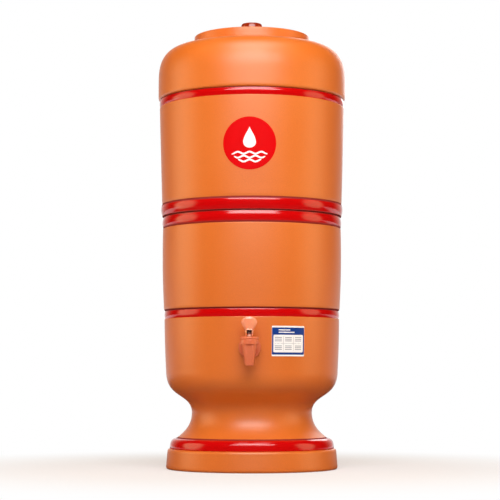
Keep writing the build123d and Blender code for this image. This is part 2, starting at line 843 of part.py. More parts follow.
# The bonnet screws over the barrel's collar and is the spring's roof.
with BuildPart() as tap_bonnet:
    with BuildSketch(barrel_plane(z_shoulder)):
        Circle(bonnet_radius - bonnet_relief)
    extrude(amount=bonnet_height)
    with BuildSketch(barrel_plane(z_bonnet - bonnet_lip)):
        Circle(bonnet_radius)
    extrude(amount=bonnet_lip)
    top_edge = tap_bonnet.edges().filter_by(GeomType.CIRCLE).group_by(Axis.Z)[-1]
    fillet(top_edge, radius=bonnet_lip / 4)
    with BuildSketch(barrel_plane(z_shoulder)):
        Circle(collar_thread_radius + thread_clearance)
    extrude(amount=collar_thread_height, mode=Mode.SUBTRACT)
    with BuildSketch(barrel_plane(z_thread_top)):
        Circle(cavity_radius)
    extrude(amount=z_spring_top - z_thread_top, mode=Mode.SUBTRACT)
    with BuildSketch(barrel_plane(z_spring_top)):
        Circle(rod_radius + running_clearance)
    extrude(amount=bonnet_roof, mode=Mode.SUBTRACT)

# ------------------------------------------------------------ tap: valve that rises
z_button = z_seat + plug_floor
piston_radius = cavity_radius - piston_gap
ring_groove_radius = cavity_radius - ring_section
z_ring_low = between(z_piston, z_spring, 0.5) - ring_section / 2

with BuildPart() as tap_plug:
    with BuildSketch(barrel_plane(z_seat)):
        Circle(plug_radius)
    extrude(amount=plug_height)
    with BuildSketch(barrel_plane(z_button)):
        Circle(rod_button_radius + running_clearance)
    extrude(amount=rod_button_height + running_clearance, mode=Mode.SUBTRACT)
    with BuildSketch(barrel_plane(z_button)):
        Circle(rod_radius + running_clearance)
    extrude(amount=plug_height - plug_floor, mode=Mode.SUBTRACT)

spring_rise = z_spring_top - z_spring - spring_wire - 2 * running_clearance

with BuildPart() as tap_spring:
    with BuildLine() as coil:
        Helix(
            pitch=spring_rise / spring_turns,
            height=spring_rise,
            radius=spring_radius,
            center=(0, -barrel_axis, z_spring + spring_wire / 2 + running_clearance),
        )
    with BuildSketch(Plane(origin=coil.line @ 0, z_dir=coil.line % 0)):
        Circle(spring_wire / 2)
    sweep(path=coil.line, is_frenet=True)

# ------------------------------------------------------------ tap: rod that swivels
with BuildPart() as tap_stem:
    with BuildSketch(barrel_plane(z_button)):
        Circle(rod_button_radius)
    extrude(amount=rod_button_height)
    with BuildSketch(barrel_plane(z_button)):
        Circle(rod_radius)
    extrude(amount=z_pin - z_button)
    with BuildSketch(barrel_plane(z_bonnet + skirt_gap)):
        Circle(skirt_radius)
    with BuildSketch(barrel_plane(z_bonnet + skirt_gap + skirt_height)):
        Circle(rod_radius)
    loft()
    with BuildSketch(barrel_plane(z_piston)):
        Circle(piston_radius)
    extrude(amount=piston_height)
    with BuildSketch(barrel_plane(z_ring_low)):
        Circle(piston_radius)
        Circle(ring_groove_radius, mode=Mode.SUBTRACT)
    extrude(amount=ring_section, mode=Mode.SUBTRACT)
    with BuildSketch(Plane(origin=(-head_width / 2, -barrel_axis, z_pin), z_dir=(1, 0, 0))):
        Circle(head_radius)
    extrude(amount=head_width)
    with BuildSketch(Plane(origin=(-head_width / 2, -barrel_axis, z_pin), z_dir=(1, 0, 0))):
        Circle(pin_radius + running_clearance)
    extrude(amount=head_width, mode=Mode.SUBTRACT)

with BuildPart() as tap_stem_ring:
    with BuildSketch(barrel_plane(z_ring_low)):
        Circle(cavity_radius - running_clearance)
        Circle(ring_groove_radius + running_clearance, mode=Mode.SUBTRACT)
    extrude(amount=ring_section)
    fillet(tap_stem_ring.edges(), radius=ring_section / 4)

with BuildPart() as tap_pin:
    with BuildSketch(Plane(origin=(-lever_leg_width / 2, -barrel_axis, z_pin), z_dir=(1, 0, 0))):
        Circle(pin_radius)
    extrude(amount=lever_leg_width)

# ------------------------------------------------------------ tap: lever
# The fork's feet are round cams, off centre from the pin. Turned through half the swing, the
# cam's centre stands level with the pin, so the rod rises by the same share all the way.
half_swing = radians(lever_swing / 2)
cam_offset = lift / 2 / sin(half_swing)
cam_y = -cam_offset * cos(half_swing)
cam_z = cam_offset * sin(half_swing)
cam_radius = pin_height + cam_z - cam_gap
lever_plane = Plane(origin=(0, -barrel_axis, z_pin), x_dir=(1, 0, 0), z_dir=(0, -1, 0))
side_plane = Plane(origin=(0, -barrel_axis, z_pin), x_dir=(0, 1, 0), z_dir=(1, 0, 0))
lever_front = cam_y - cam_radius
lever_back = cam_y + cam_radius
lever_tip = between(lever_front, lever_back, lever_lean)
lever_waist = lever_height * lever_waist_rise

with BuildPart() as tap_lever:
    # seen from the side: round foot, slim paddle
    with BuildSketch(side_plane):
        with BuildLine():
            ThreePointArc((lever_front, cam_z), (cam_y, cam_z - cam_radius), (lever_back, cam_z))
            Spline(
                (lever_back, cam_z),
                (lever_tip + lever_top_depth * lever_back_swell, lever_waist),
                (lever_tip + lever_top_depth / 2, lever_height),
                tangents=[(0, 1), (0, 1)],
            )
            Line(
                (lever_tip + lever_top_depth / 2, lever_height),
                (lever_tip - lever_top_depth / 2, lever_height),
            )
            Spline(
                (lever_tip - lever_top_depth / 2, lever_height),
                (lever_tip - lever_top_depth * lever_front_swell, lever_waist),
                (lever_front, cam_z),
                tangents=[(0, -1), (0, -1)],
            )
        make_face()
    extrude(amount=lever_width / 2, both=True)
    # seen from the front: two legs, a narrow neck and a round thumb plate
    with BuildSketch(lever_plane):
        with BuildLine() as half_outline:
            Line((0, cam_z - cam_radius), (lever_leg_width / 2, cam_z - cam_radius))
            Line((lever_leg_width / 2, cam_z - cam_radius), (lever_leg_width / 2, 0))
            Spline(
                (lever_leg_width / 2, 0),
                (lever_neck_width / 2, lever_widest * lever_neck_rise),
                ((lever_neck_width + lever_width) / 4, lever_widest * lever_flare_rise),
                (lever_width / 2, lever_widest),
                tangents=[(0, 1), (0, 1)],
            )
            Bezier(
                (lever_width / 2, lever_widest),
                (lever_width / 2, between(lever_widest, lever_height, lever_shoulder_rise)),
                (lever_width / 2 * lever_crown_run, lever_height),
                (0, lever_height),
            )
            mirror(about=Plane.YZ)
        make_face()
    extrude(amount=lever_width, both=True, mode=Mode.INTERSECT)
    fillet(tap_lever.edges(), radius=min(lever_edge, lever_top_depth / 2.5))
    # slot between the legs, and the pin's holes
    slot_base = cam_z - cam_radius
    slot_top = lever_slot_height
    with BuildSketch(lever_plane):
        with Locations((0, between(slot_base, slot_top, 0.5))):
            Rectangle(lever_slot, slot_top - slot_base)
    extrude(amount=lever_width, both=True, mode=Mode.SUBTRACT)
    with BuildSketch(side_plane):
        Circle(pin_radius + running_clearance)
    extrude(amount=lever_width, both=True, mode=Mode.SUBTRACT)

# ------------------------------------------------------------ write the pieces
pieces = {
    "lower_chamber": lower_chamber,
    "upper_chamber": upper_chamber,
    "lid": lid,
    "badge": badge,
    "info_label": info_label,
    "candle_base": candle_base,
    "candle_shell": candle_shell,
    "candle_carbon": candle_carbon,
    "candle_upper_washer": candle_upper_washer,
    "candle_lower_washer": candle_lower_washer,
    "candle_wing_nut": candle_wing_nut,
    "float_cage": float_cage,
    "float_shell": float_shell,
    "float_cap": float_cap,
    "float_pad": float_pad,
    "tap_body": tap_body,
    "tap_outer_gasket": tap_outer_gasket,
    "tap_inner_gasket": tap_inner_gasket,
    "tap_nut": tap_nut,
    "tap_bonnet": tap_bonnet,
    "tap_plug": tap_plug,
    "tap_spring": tap_spring,
    "tap_stem": tap_stem,
    "tap_stem_ring": tap_stem_ring,
    "tap_pin": tap_pin,
    "tap_lever": tap_lever,
}

os.makedirs("parts", exist_ok=True)
for name, piece in pieces.items():
    piece.part.label = name
    export_step(piece.part, f"parts/{name}.step")
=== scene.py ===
"""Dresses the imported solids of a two-chamber clay water filter in a plain studio.

The clay pieces, the two stickers and the tap's cap, lever and spring are new surfaces, worked out
with numpy. The tap's body is its solid with two corners taken off. The other pieces keep their
solids and get materials. Profiles are in millimetres, as potters and moulders measure them, and
become metres where they enter a mesh.
"""

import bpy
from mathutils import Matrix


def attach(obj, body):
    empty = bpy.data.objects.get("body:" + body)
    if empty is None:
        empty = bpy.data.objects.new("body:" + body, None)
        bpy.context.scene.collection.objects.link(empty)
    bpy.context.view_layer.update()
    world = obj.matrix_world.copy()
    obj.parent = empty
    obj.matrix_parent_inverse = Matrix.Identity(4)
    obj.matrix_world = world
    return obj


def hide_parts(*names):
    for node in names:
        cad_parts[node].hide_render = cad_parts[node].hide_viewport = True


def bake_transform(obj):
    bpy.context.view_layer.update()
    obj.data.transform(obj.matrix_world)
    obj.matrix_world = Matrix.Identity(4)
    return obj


bl_info = {
    "name": "Clay water filter",
    "version": (1, 0, 0),
    "blender": (4, 5, 0),
    "location": "View3D > Sidebar > Clay filter",
    "description": "Surfaces, materials and studio of a clay gravity water filter with tap",
    "category": "Object",
}

from math import comb, pi, radians, tau

import bmesh
import bpy
import numpy as np
from bpy.props import FloatProperty, FloatVectorProperty, IntProperty, PointerProperty
from mathutils import Euler, Matrix, Vector

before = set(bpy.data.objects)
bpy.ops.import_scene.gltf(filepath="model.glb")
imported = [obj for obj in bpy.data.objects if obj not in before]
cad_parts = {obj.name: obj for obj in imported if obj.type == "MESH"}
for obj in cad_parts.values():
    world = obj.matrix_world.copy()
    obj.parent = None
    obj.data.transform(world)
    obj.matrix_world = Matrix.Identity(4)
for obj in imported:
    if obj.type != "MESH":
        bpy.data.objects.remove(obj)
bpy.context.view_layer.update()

MILLIMETRE = 0.001


def linear(hex_colour):
    """Linear red, green and blue of an sRGB hex value, by the standard's curve."""
    values = np.array([int(hex_colour[i : i + 2], 16) / 255 for i in (1, 3, 5)])
    low = values <= 0.04045
    return tuple(np.where(low, values / 12.92, ((values + 0.055) / 1.055) ** 2.4))


# ------------------------------------------------------------------ settings
def colour(name, description, hex_colour):
    """A colour property whose default is an sRGB hex value."""
    return FloatVectorProperty(
        name=name,
        description=description,
        default=linear(hex_colour),
        subtype="COLOR",
        size=3,
        min=0,
        max=1,
    )


def length(name, description, millimetres):
    """A length property whose default is in millimetres."""
    return FloatProperty(
        name=name,
        description=description,
        default=millimetres * MILLIMETRE,
        min=0,
        subtype="DISTANCE",
        unit="LENGTH",
        precision=5,
    )


def power(name, description, watts):
    """A lamp's power property."""
    return FloatProperty(name=name, description=description, default=watts, min=0, unit="POWER")


def angle(name, description, degrees):
    """An angle property whose default is in degrees."""
    return FloatProperty(
        name=name, description=description, default=radians(degrees), subtype="ANGLE"
    )


def level(name, description, value, most):
    """A property for a strength or a share, from nothing to the most it may be."""
    return FloatProperty(name=name, description=description, default=value, min=0, max=most)


class ClaySettings(bpy.types.PropertyGroup):
    """Sizes and colours of the thrown clay and its painted rings."""

    around: IntProperty(
        name="Steps around",
        description="Faces in one turn of the clay",
        default=220,
        min=32,
        max=384,
    )
    unevenness: length("Unevenness", "How far the thrown wall wanders inward from true", 0.25)
    throwing_pitch: length("Throwing pitch", "Rise of the fingers in one turn of the wheel", 3.2)
    grain: length("Grain", "Width of the clay's grit", 0.9)
    brush_waver: length("Brush waver", "How far the painted edges wander", 0.25)
    clay: colour("Clay", "Fired and waxed red clay", "#DE6E1D")
    clay_pale: colour("Pale clay", "Clay where the fire or the wax left it lighter", "#E47724")
    enamel: colour("Enamel", "Red enamel of the rings and the knob", "#CA0307")
    # The knob's darker enamel is painted shade.
    knob_painted_shade: colour("Painted knob shade", "Enamel of the knob, darkened as painted shade", "#912A0C")
    # The dark red of the joints and grooves is painted shade, standing in for the shade that falls
    # there.
    groove_painted_shade: colour("Painted groove shade", "Painted shade in the joints and grooves", "#8A0300")


class StickerSettings(bpy.types.PropertyGroup):
    """Colours of the badge and the information label."""

    badge_red: colour("Badge red", "Ground of the round badge", "#DA070D")
    ink_white: colour("White ink", "Drop, waves and label ground", "#FCFDFF")
    label_blue: colour("Label blue", "Header and border of the label", "#003A90")
    ink_grey: colour("Grey ink", "Plain bars on the label", "#9BA5B4")
    wave_pitch: length("Wave length", "From crest to crest of the badge's waves", 15)


class FittingSettings(bpy.types.PropertyGroup):
    """Colours of the tap, the candle and the float valve."""

    tap: colour("Tap plastic", "Moulded polypropylene of the tap", "#DE7650")
    lever: colour("Lever plastic", "Moulded polypropylene of the lever", "#F59B74")
    rod: colour("Rod plastic", "Turned acetal of the tap's rod", "#E9AB97")
    rubber: colour("Rubber", "Nitrile rubber of washers and rings", "#2B2A2A")
    silicone: colour("Silicone", "Silicone of the valve plug", "#E4E2DC")
    candle: colour("Candle ceramic", "Diatomite ceramic of the candle", "#EFECE2")
    white_plastic: colour("White plastic", "Moulded ABS of the candle's fittings", "#EDEEEC")
    float_plastic: colour("Float plastic", "Moulded polypropylene of the float", "#4F8BC9")
    carbon: colour("Carbon", "Activated carbon granules", "#1E1D1D")
    # The steel's dark brown is painted shade for the pin, deep in the lever's slot.
    steel: colour("Steel", "Stainless steel of the spring and the pin", "#4E3C34")
    # The slot's dark colour is painted shade.
    slot_painted_shade: colour("Slot shade", "Painted shade in the lever's slot and on the rod's head", "#5A1C0E")


class StudioSettings(bpy.types.PropertyGroup):
    """The camera and the plain studio."""

    distance: length("Camera distance", "From the filter's axis", 2258.7)
    eye_height: length("Eye height", "Camera above the floor", 123.4)
    lens: FloatProperty(
        name="Lens",
        description="Focal length on a 36 mm sensor",
        default=121.41,
        min=20,
        unit="CAMERA",
    )
    azimuth: angle("Azimuth", "Camera's turn round the filter, towards +X", 1.35)
    pan: angle("Pan", "Camera's turn to the left", 0.0622)
    tilt: angle("Tilt", "Camera's turn upward", 4.2606)
    floor: colour("Floor", "Plain pale floor", "#B0B0B0")
    floor_lift: level("Floor lift", "White seen on the floor beyond its own light", 0.46, 1)
    key_power: power("Key lamp", "Power of the close lamp above the lid", 1.6)
    near_power: power("Near lamp", "Power of the lamp above the camera", 9)
    high_power: power("High lamp", "Power of the wide lamp high in front", 20)
    wide_power: power("Wide lamp", "Power of the wide lamp further back", 4)
    front_power: power("Front lamp", "Power of the dim wall of light behind the camera", 10)
    left_power: power("Left lamp", "Power of the lamp on the left", 6.2)
    right_power: power("Right lamp", "Power of the lamp on the right", 4.0)
    back_power: power("Back lamp", "Power of the lamp behind the filter", 8)
    low_power: power("Low lamps", "Power of each of the two lamps near the floor", 0.8)
    side_colour: colour("Side colour", "Warm light of the two side lamps", "#FFE6B4")
    fill: level("Fill", "Strength of the even light from all round", 0.32, 4)
    fill_colour: colour("Fill colour", "Light that comes back from the room", "#FFC48E")
    gloss_share: level("Gloss share", "How much of room and floor gloss shows in front", 0.15, 1)


class FilterSettings(bpy.types.PropertyGroup):
    """Everything that a user may change on the filter."""

    clay: PointerProperty(type=ClaySettings)
    stickers: PointerProperty(type=StickerSettings)
    fittings: PointerProperty(type=FittingSettings)
    studio: PointerProperty(type=StudioSettings)


# ------------------------------------------------------------------ surfaces
CLAY_RADIUS = 120  # about that of both chambers and the lid, in millimetres
UNPAINTED = -1000.0  # a place so far outside the paint's edge that nothing there is painted


def bezier(*points, step=1.7):
    """Points about a step apart along a Bezier curve: Bernstein polynomials of one parameter times
    the control points."""
    points = np.array(points, float)
    degree = len(points) - 1
    run = np.linalg.norm(np.diff(points, axis=0), axis=1).sum()
    least = 2 if degree == 1 else 8
    t = np.linspace(0, 1, max(least, int(run / step) + 2))[:, None]
    weights = (comb(degree, k) * t**k * (1 - t) ** (degree - k) for k in range(degree + 1))
    return sum(weight * point for weight, point in zip(weights, points))


def line(start, end):
    """Points along a straight run."""
    return bezier(start, end, step=4)


def swell(start, end, bulge):
    """Points along a parabola that stands out by bulge halfway between its ends."""
    middle = ((start[0] + end[0]) / 2 + 2 * bulge, (start[1] + end[1]) / 2)
    return bezier(start, middle, end, step=2.5)


def superellipse(inner, side, foot, top, exponent):
    """Quarter of a superellipse from the side up to where it is level: cosine and sine of the turn,
    each to the power two over the exponent, times half axes."""
    t = np.linspace(0, pi / 2, 56)
    share_out, share_up = np.cos(t) ** (2 / exponent), np.sin(t) ** (2 / exponent)
    share_out[-1] = 0
    return np.stack([inner + (side - inner) * share_out, foot + (top - foot) * share_up], axis=1)


def profile(*runs):
    """Joins runs of points, each with whether it is painted, into one profile. Returns the points
    and each point's distance along the profile inside the nearest painted run, less than nothing
    on bare clay."""
    points = np.concatenate([run if k == 0 else run[1:] for k, (run, _) in enumerate(runs)])
    along = np.concatenate([[0], np.cumsum(np.linalg.norm(np.diff(points, axis=0), axis=1))])
    corners = along[np.concatenate([[0], np.cumsum([len(run) - 1 for run, _ in runs])])]
    paint = np.concatenate([[0], [painted for _, painted in runs], [0]]).astype(int)
    change = np.diff(paint)
    inside = np.full(len(points), UNPAINTED)
    for first, last in zip(corners[change == 1], corners[change == -1]):
        inside = np.maximum(inside, np.minimum(along - first, last - along))
    return points, inside


def mesh_object(name, points, faces):
    """An object at the origin from points in millimetres and groups of faces of equal size."""
    mesh = bpy.data.meshes.new(name)
    corners = np.concatenate([group.ravel() for group in faces]).astype(np.int32)
    sizes = np.concatenate([np.full(len(group), group.shape[1]) for group in faces])
    mesh.vertices.add(len(points))
    mesh.vertices.foreach_set("co", (points * MILLIMETRE).astype(np.float32).ravel())
    mesh.loops.add(len(corners))
    mesh.loops.foreach_set("vertex_index", corners)
    mesh.polygons.add(len(sizes))
    starts = np.concatenate([[0], np.cumsum(sizes)[:-1]]).astype(np.int32)
    mesh.polygons.foreach_set("loop_start", starts)
    mesh.update(calc_edges=True)
    piece = bpy.data.objects.new(name, mesh)
    bpy.context.scene.collection.objects.link(piece)
    return piece


def grid_faces(rows, columns, closed_rows=False, closed_columns=True):
    """Corner numbers of the quads of a grid of points, wrapped round where it is closed."""
    row = np.arange(rows if closed_rows else rows - 1)[:, None]
    column = np.arange(columns if closed_columns else columns - 1)[None, :]
    next_row, next_column = (row + 1) % rows, (column + 1) % columns
    corners = [
        row * columns + column,
        row * columns + next_column,
        next_row * columns + next_column,
        next_row * columns + column,
    ]
    return np.stack(np.broadcast_arrays(*corners), axis=-1).reshape(-1, 4)


def capped(rings):
    """Points and faces of a skin of rings with both ends closed by fans round their middles. Seen
    from the last ring, each ring runs anticlockwise."""
    rows, columns, _ = rings.shape
    first = np.arange(columns)
    after = np.roll(first, -1)
    last = (rows - 1) * columns
    low = np.stack([after, first, np.full(columns, rows * columns)], axis=1)
    high = np.stack([last + first, last + after, np.full(columns, rows * columns + 1)], axis=1)
    points = np.concatenate([rings.reshape(-1, 3), rings[[0, -1]].mean(axis=1)])
    return points, [grid_faces(rows, columns), low, high]


def lathe(name, outline, around, wander=0.0):
    """A turned solid: each point of the outline goes round the axis at its radius and height. The
    radius is scaled by three slow waves in angle and height, inward only, by up to wander at the
    clay's radius."""
    radius, height = outline[:, 0], outline[:, 1]
    on_axis = radius < 1e-6
    ring = outline[~on_axis]
    turn = np.arange(around) / around * tau
    r, z, a = ring[:, :1], ring[:, 1:], turn[None, :]
    waves = (
        np.sin(2 * a + z / 61 + 1.3) * 0.5
        + np.sin(3 * a - z / 43 + 0.4) * 0.3
        + np.sin(5 * a + z / 19 + 2.1) * 0.2
    )
    r = r * (1 - wander / CLAY_RADIUS * (waves + 1) / 2)
    points = np.stack([r * np.cos(a), r * np.sin(a), z + 0 * a], axis=-1).reshape(-1, 3)
    rows = len(ring)
    faces = [grid_faces(rows, around, closed_rows=not on_axis.any())]
    first, second = np.arange(around), (np.arange(around) + 1) % around
    for end, row in ((0, 0), (-1, rows - 1)):
        if on_axis[end]:
            pole = np.full(around, len(points))
            points = np.vstack([points, [0, 0, height[end]]])
            low, high = (second, first) if end == 0 else (first, second)
            faces.append(np.stack([row * around + low, row * around + high, pole], axis=1))
    return mesh_object(name, points, faces)


def shade(piece, sharp_above=32):
    """Smooth shading with sharp edges above an angle in degrees."""
    piece.data.polygons.foreach_set("use_smooth", np.ones(len(piece.data.polygons), bool))
    piece.data.set_sharp_from_angle(angle=radians(sharp_above))
    return piece


def apply_modifiers(piece):
    """Puts the result of the piece's modifiers into its mesh."""
    depsgraph = bpy.context.evaluated_depsgraph_get()
    result = bpy.data.meshes.new_from_object(
        piece.evaluated_get(depsgraph), preserve_all_data_layers=True, depsgraph=depsgraph
    )
    old = piece.data
    piece.modifiers.clear()
    piece.data = result
    result.name = piece.name
    bpy.data.meshes.remove(old)
    return piece


def turned_clay(name, node, body, runs, joints, settings):
    """One thrown piece of clay, closed. Two attributes in millimetres go with it: how far a point
    is inside the paint's edge, and how far it is from the nearest joint or groove."""
    outline, inside = profile(*runs)
    closed = outline[0, 0] > 0
    if closed:
        outline, inside = outline[:-1], inside[:-1]
    groove = np.linalg.norm(outline[:, None] - np.array(joints)[None], axis=2).min(axis=1)
    piece = lathe(name, outline, settings.around, settings.unevenness / MILLIMETRE)
    for key, along in (("paint_edge", inside), ("from_joint", groove)):
        values = np.repeat(along if closed else along[1:-1], settings.around)
        if not closed:
            values = np.concatenate([values, [along[0], along[-1]]])
        attribute = piece.data.attributes.new(key, "FLOAT", "POINT")
        attribute.data.foreach_set("value", values.astype(np.float32))
    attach(piece, body)
    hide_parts(node)
    return piece


# ------------------------------------------------------------------ outlines of the clay
# Radius and height of the joints and grooves, where a dark line of painted shade lies
LOWER_JOINTS = ((99.6, 41.3), (116, 210.2), (118.4, 320.4), (117.9, 335.1))
UPPER_JOINTS = ((119.3, 335.1), (120.9, 351.0), (122.4, 492.8))
LID_JOINTS = ((121.5, 492.8),)


def lower_outline():
    """Under the foot's hollow, down it, up the outside to the rim and down into the bowl."""
    return (
        (line((0, 82.5), (63.4, 82.5)), False),
        (bezier((63.4, 82.5), (71.6, 82.5), (71.6, 74.3)), False),
        (bezier((71.6, 74.3), (71.6, 56.31), (83.89, 47.16), (90.8, 41.6)), False),
        (line((90.8, 41.6), (105.6, 13.5)), False),
        (line((105.6, 13.5), (105.6, 0)), False),
        (line((105.6, 0), (110.6, 0)), False),
        (bezier((110.6, 0), (114.1, 0), (114.1, 3.5)), False),
        (line((114.1, 3.5), (112.5, 22.5)), False),
        (bezier((112.5, 22.5), (112.5, 27), (108.6, 27)), False),
        (line((108.6, 27), (109.3, 27.8)), True),
        (bezier((109.3, 27.8), (109.3, 35.97), (106.98, 40.8), (100, 40.8), step=0.8), True),
        (line((100, 40.8), (99.3, 41.6)), False),
        (bezier((99.3, 41.6), (92.39, 47.16), (80.1, 56.31), (80.1, 74.3)), False),
        (bezier((80.1, 74.3), (80.1, 100.4), (114.6, 92.06), (114.6, 129.8)), False),
        (swell((114.6, 129.8), (116.75, 197.3), 0.45), False),
        (bezier((116.75, 197.3), (116.8, 198.6), (116, 198.6), step=0.3), False),
        (line((116, 198.6), (116.1, 199)), True),
        (swell((116.1, 199), (116.5, 206.8), 0.4), True),
        (bezier((116.5, 206.8), (116.35, 208.5), (115.6, 209.6), step=0.3), True),
        (line((115.6, 209.6), (116.2, 209.9)), False),
        (bezier((116.2, 209.9), (117.8, 209.9), (117.8, 217.5)), False),
        (swell((117.8, 217.5), (119.38, 317.9), 1.0), False),
        (bezier((119.38, 317.9), (119.4, 319.1), (118.6, 319.1), step=0.3), False),
        (line((118.6, 319.1), (118.7, 319.4)), True),
        (swell((118.7, 319.4), (118.7, 333.9), 1.4), True),
        (bezier((118.7, 333.9), (118.7, 335.1), (117.5, 335.1)), True),
        (line((117.5, 335.1), (112.1, 335.1)), False),
        (bezier((112.1, 335.1), (110.9, 335.1), (110.9, 333.9)), False),
        (line((110.9, 333.9), (106.1, 129.8)), False),
        (bezier((106.1, 129.8), (106.1, 111.15), (84.86, 92.5), (67.5, 92.5)), False),
        (line((67.5, 92.5), (0, 92.5)), False),
    )


def upper_outline():
    """Under floor and spigot, up the outside to the rim, down inside and through the hole."""
    return (
        (line((6.2, 317.8), (108.1, 317.8)), False),
        (bezier((108.1, 317.8), (109.3, 317.8), (109.3, 319)), False),
        (line((109.3, 319), (109.3, 335.1)), False),
        (line((109.3, 335.1), (119.1, 335.1)), False),
        (bezier((119.1, 335.1), (120.3, 335.1), (120.3, 336.3)), True),
        (bezier((120.3, 336.3), (123.2, 344.3), (121, 350.8), step=0.8), True),
        (line((121, 350.8), (120.3, 351.4)), False),
        (bezier((120.3, 351.4), (120.3, 352.8), (120.7, 354), (120.8, 355.8), step=0.5), False),
        (swell((120.8, 355.8), (124.17, 481.3), 0.15), False),
        (bezier((124.17, 481.3), (124.2, 482.4), (123.4, 482.4), step=0.3), False),
        (line((123.4, 482.4), (123.5, 482.8)), True),
        (swell((123.5, 482.8), (123.8, 491.6), 0.75), True),
        (bezier((123.8, 491.6), (123.8, 492.8), (121.7, 492.8), step=0.3), True),
        (line((121.7, 492.8), (116.9, 492.8)), False),
        (bezier((116.9, 492.8), (115.7, 492.8), (115.7, 491.6)), False),
        (line((115.7, 491.6), (112.3, 353.8)), False),
        (bezier((112.3, 353.8), (105.9, 329.8), (82.3, 329.8)), False),
        (line((82.3, 329.8), (6.2, 329.8)), False),
        (line((6.2, 329.8), (6.2, 317.8)), False),
    )


def lid_outline():
    """Under the dome and down its inside, round the lip and the edge, over the dome to the knob."""
    return (
        (line((0, 571.3), (67.6, 571.3)), False),
        (line((67.6, 571.3), (69.1, 556.7)), False),
        (line((69.1, 556.7), (80.5, 556.7)), False),
        (superellipse(80.5, 117.5, 515.5, 556.7, 2.815)[::-1], False),
        (line((117.5, 515.5), (117.5, 502.8)), False),
        (line((117.5, 502.8), (106.9, 497.05)), False),
        (line((106.9, 497.05), (106.9, 484.8)), False),
        (line((106.9, 484.8), (113.9, 484.8)), False),
        (line((113.9, 484.8), (113.9, 492.8)), False),
        (line((113.9, 492.8), (121.5, 492.8)), False),
        (bezier((121.5, 492.8), (125.2, 492.8), (126, 493.7), (126, 497.5), step=0.7), False),
        (line((126, 497.5), (126, 515.5)), False),
        (superellipse(80.5, 126, 515.5, 565.2, 2.815), False),
        (line((80.5, 565.2), (77.6, 565.2)), False),
        (line((77.6, 565.2), (77.6, 578.3)), False),
        (bezier((77.6, 578.3), (77.6, 579.8), (76.1, 579.8)), False),
        (line((76.1, 579.8), (10.6, 579.8)), False),
        (bezier((10.6, 579.8), (9.6, 584.0), (14.4, 585.4), (14.4, 591.6), step=0.6), True),
        (bezier((14.4, 591.6), (14.4, 597.6), (14.2, 598.7), (11.4, 598.9), step=0.6), True),
        (bezier((11.4, 598.9), (7.5, 599.3), (4, 599.4), (0, 599.4)), True),
    )


SMALL_AROUND = 96  # steps round the tap's turned pieces
TAP_HEIGHT = 159.0
# Radius about the shank and distance out from the filter's axis
TAP_HOLE = (
    (0, 98), (14.2, 98), (14.2, 106.88), (8, 106.88),
    (8, 114.97), (14.2, 114.97), (14.2, 125), (0, 125),
)  # fmt: skip


def cut_tap_hole(piece):
    """Bores the tap's hole and its two spot faces with a turned cutter along -Y."""
    runs = [bezier(a, b, step=50)[:-1] for a, b in zip(TAP_HOLE, TAP_HOLE[1:])]
    cutter = lathe("tap_hole_cutter", np.concatenate(runs + [TAP_HOLE[-1:]]), SMALL_AROUND)
    lying = Matrix.Rotation(pi / 2, 4, "X")
    cutter.data.transform(Matrix.Translation((0, 0, TAP_HEIGHT * MILLIMETRE)) @ lying)
    return cut(piece, cutter)


# ------------------------------------------------------------------ tap
# Heights and the barrel's y are from the filter's origin.
BARREL_AXIS = -133.973
PIN_HEIGHT = 176.8
PIN_RADIUS = 1.05
LEVER_MIDDLE, LEVER_REACH = 8.15, 12.5  # above the pin, and from there to each end
LEVER_BORDER = 2.2  # width of the thumb plate's bevel
LEVER_EDGE = 0.9  # half the thickness at the outline
LEVER_SLOT = (6.3, 12, 0.5)  # width, height and corner
SLOT_MIDDLE = -2.1  # below the pin
SPOUT_TIP = 135.7
SPOUT_HALF = 5.5  # half the spout's width at its tip
SPOUT_CORNER = 2.9
SPOUT_TAPER = 0.138  # half the widening over the rise
PISTON_TOP = 164.6
SPRING_ROOF = 170.9
SPRING_RADIUS, SPRING_WIRE, SPRING_TURNS = 4.4, 0.6, 4
SPRING_GAP = 0.35  # from the wire's middle to what it presses on
# Painted shade covers the rod's head from between these heights upward.
ROD_SHADE = (175.6, 176.2)  # the film starts between these heights


def place(piece, x=0, y=0, z=0):
    """Moves a mesh by millimetres and leaves its object at the origin."""
    piece.data.transform(Matrix.Translation(Vector((x, y, z)) * MILLIMETRE))
    return piece


def smoothstep(share):
    """Three times the square less twice the cube of a share held between nothing and one."""
    share = np.clip(share, 0, 1)
    return share * share * (3 - 2 * share)


def lever_sides(height):
    """Half width of the lever and the depths of its front and back, at heights above the pin. The
    width grows from the legs to the thumb plate by the mean of a line and a smoothstep, and closes
    with a superellipse over the crown. Front and back run from the circle of the cam feet, 5.9 in
    radius and 1.955 before the pin, to a slim plate, each by a smoothstep."""
    rise = np.clip((height - 2.6) / 10.6, 0, 1)
    half = 4.95 + 0.15 * np.clip(height, -4.4, 3) + 2.35 * (rise + smoothstep(rise))
    crown = np.clip((height - 13) / 7.7, 0, 1)
    half = half * (1 - crown**2.3) ** (1 / 2.1)
    foot = np.sqrt(np.clip(5.9**2 - np.clip(1.5 - height, 0, 5.9) ** 2, 0, None))
    thin = smoothstep((height + 1.5) / 7)
    slim = smoothstep((height - 2) / 6)
    front = (-1.955 - foot) * (1 - thin) + -3.6 * thin
    back = (-1.955 + foot) * (1 - slim) + 0.35 * slim
    return half, front, back


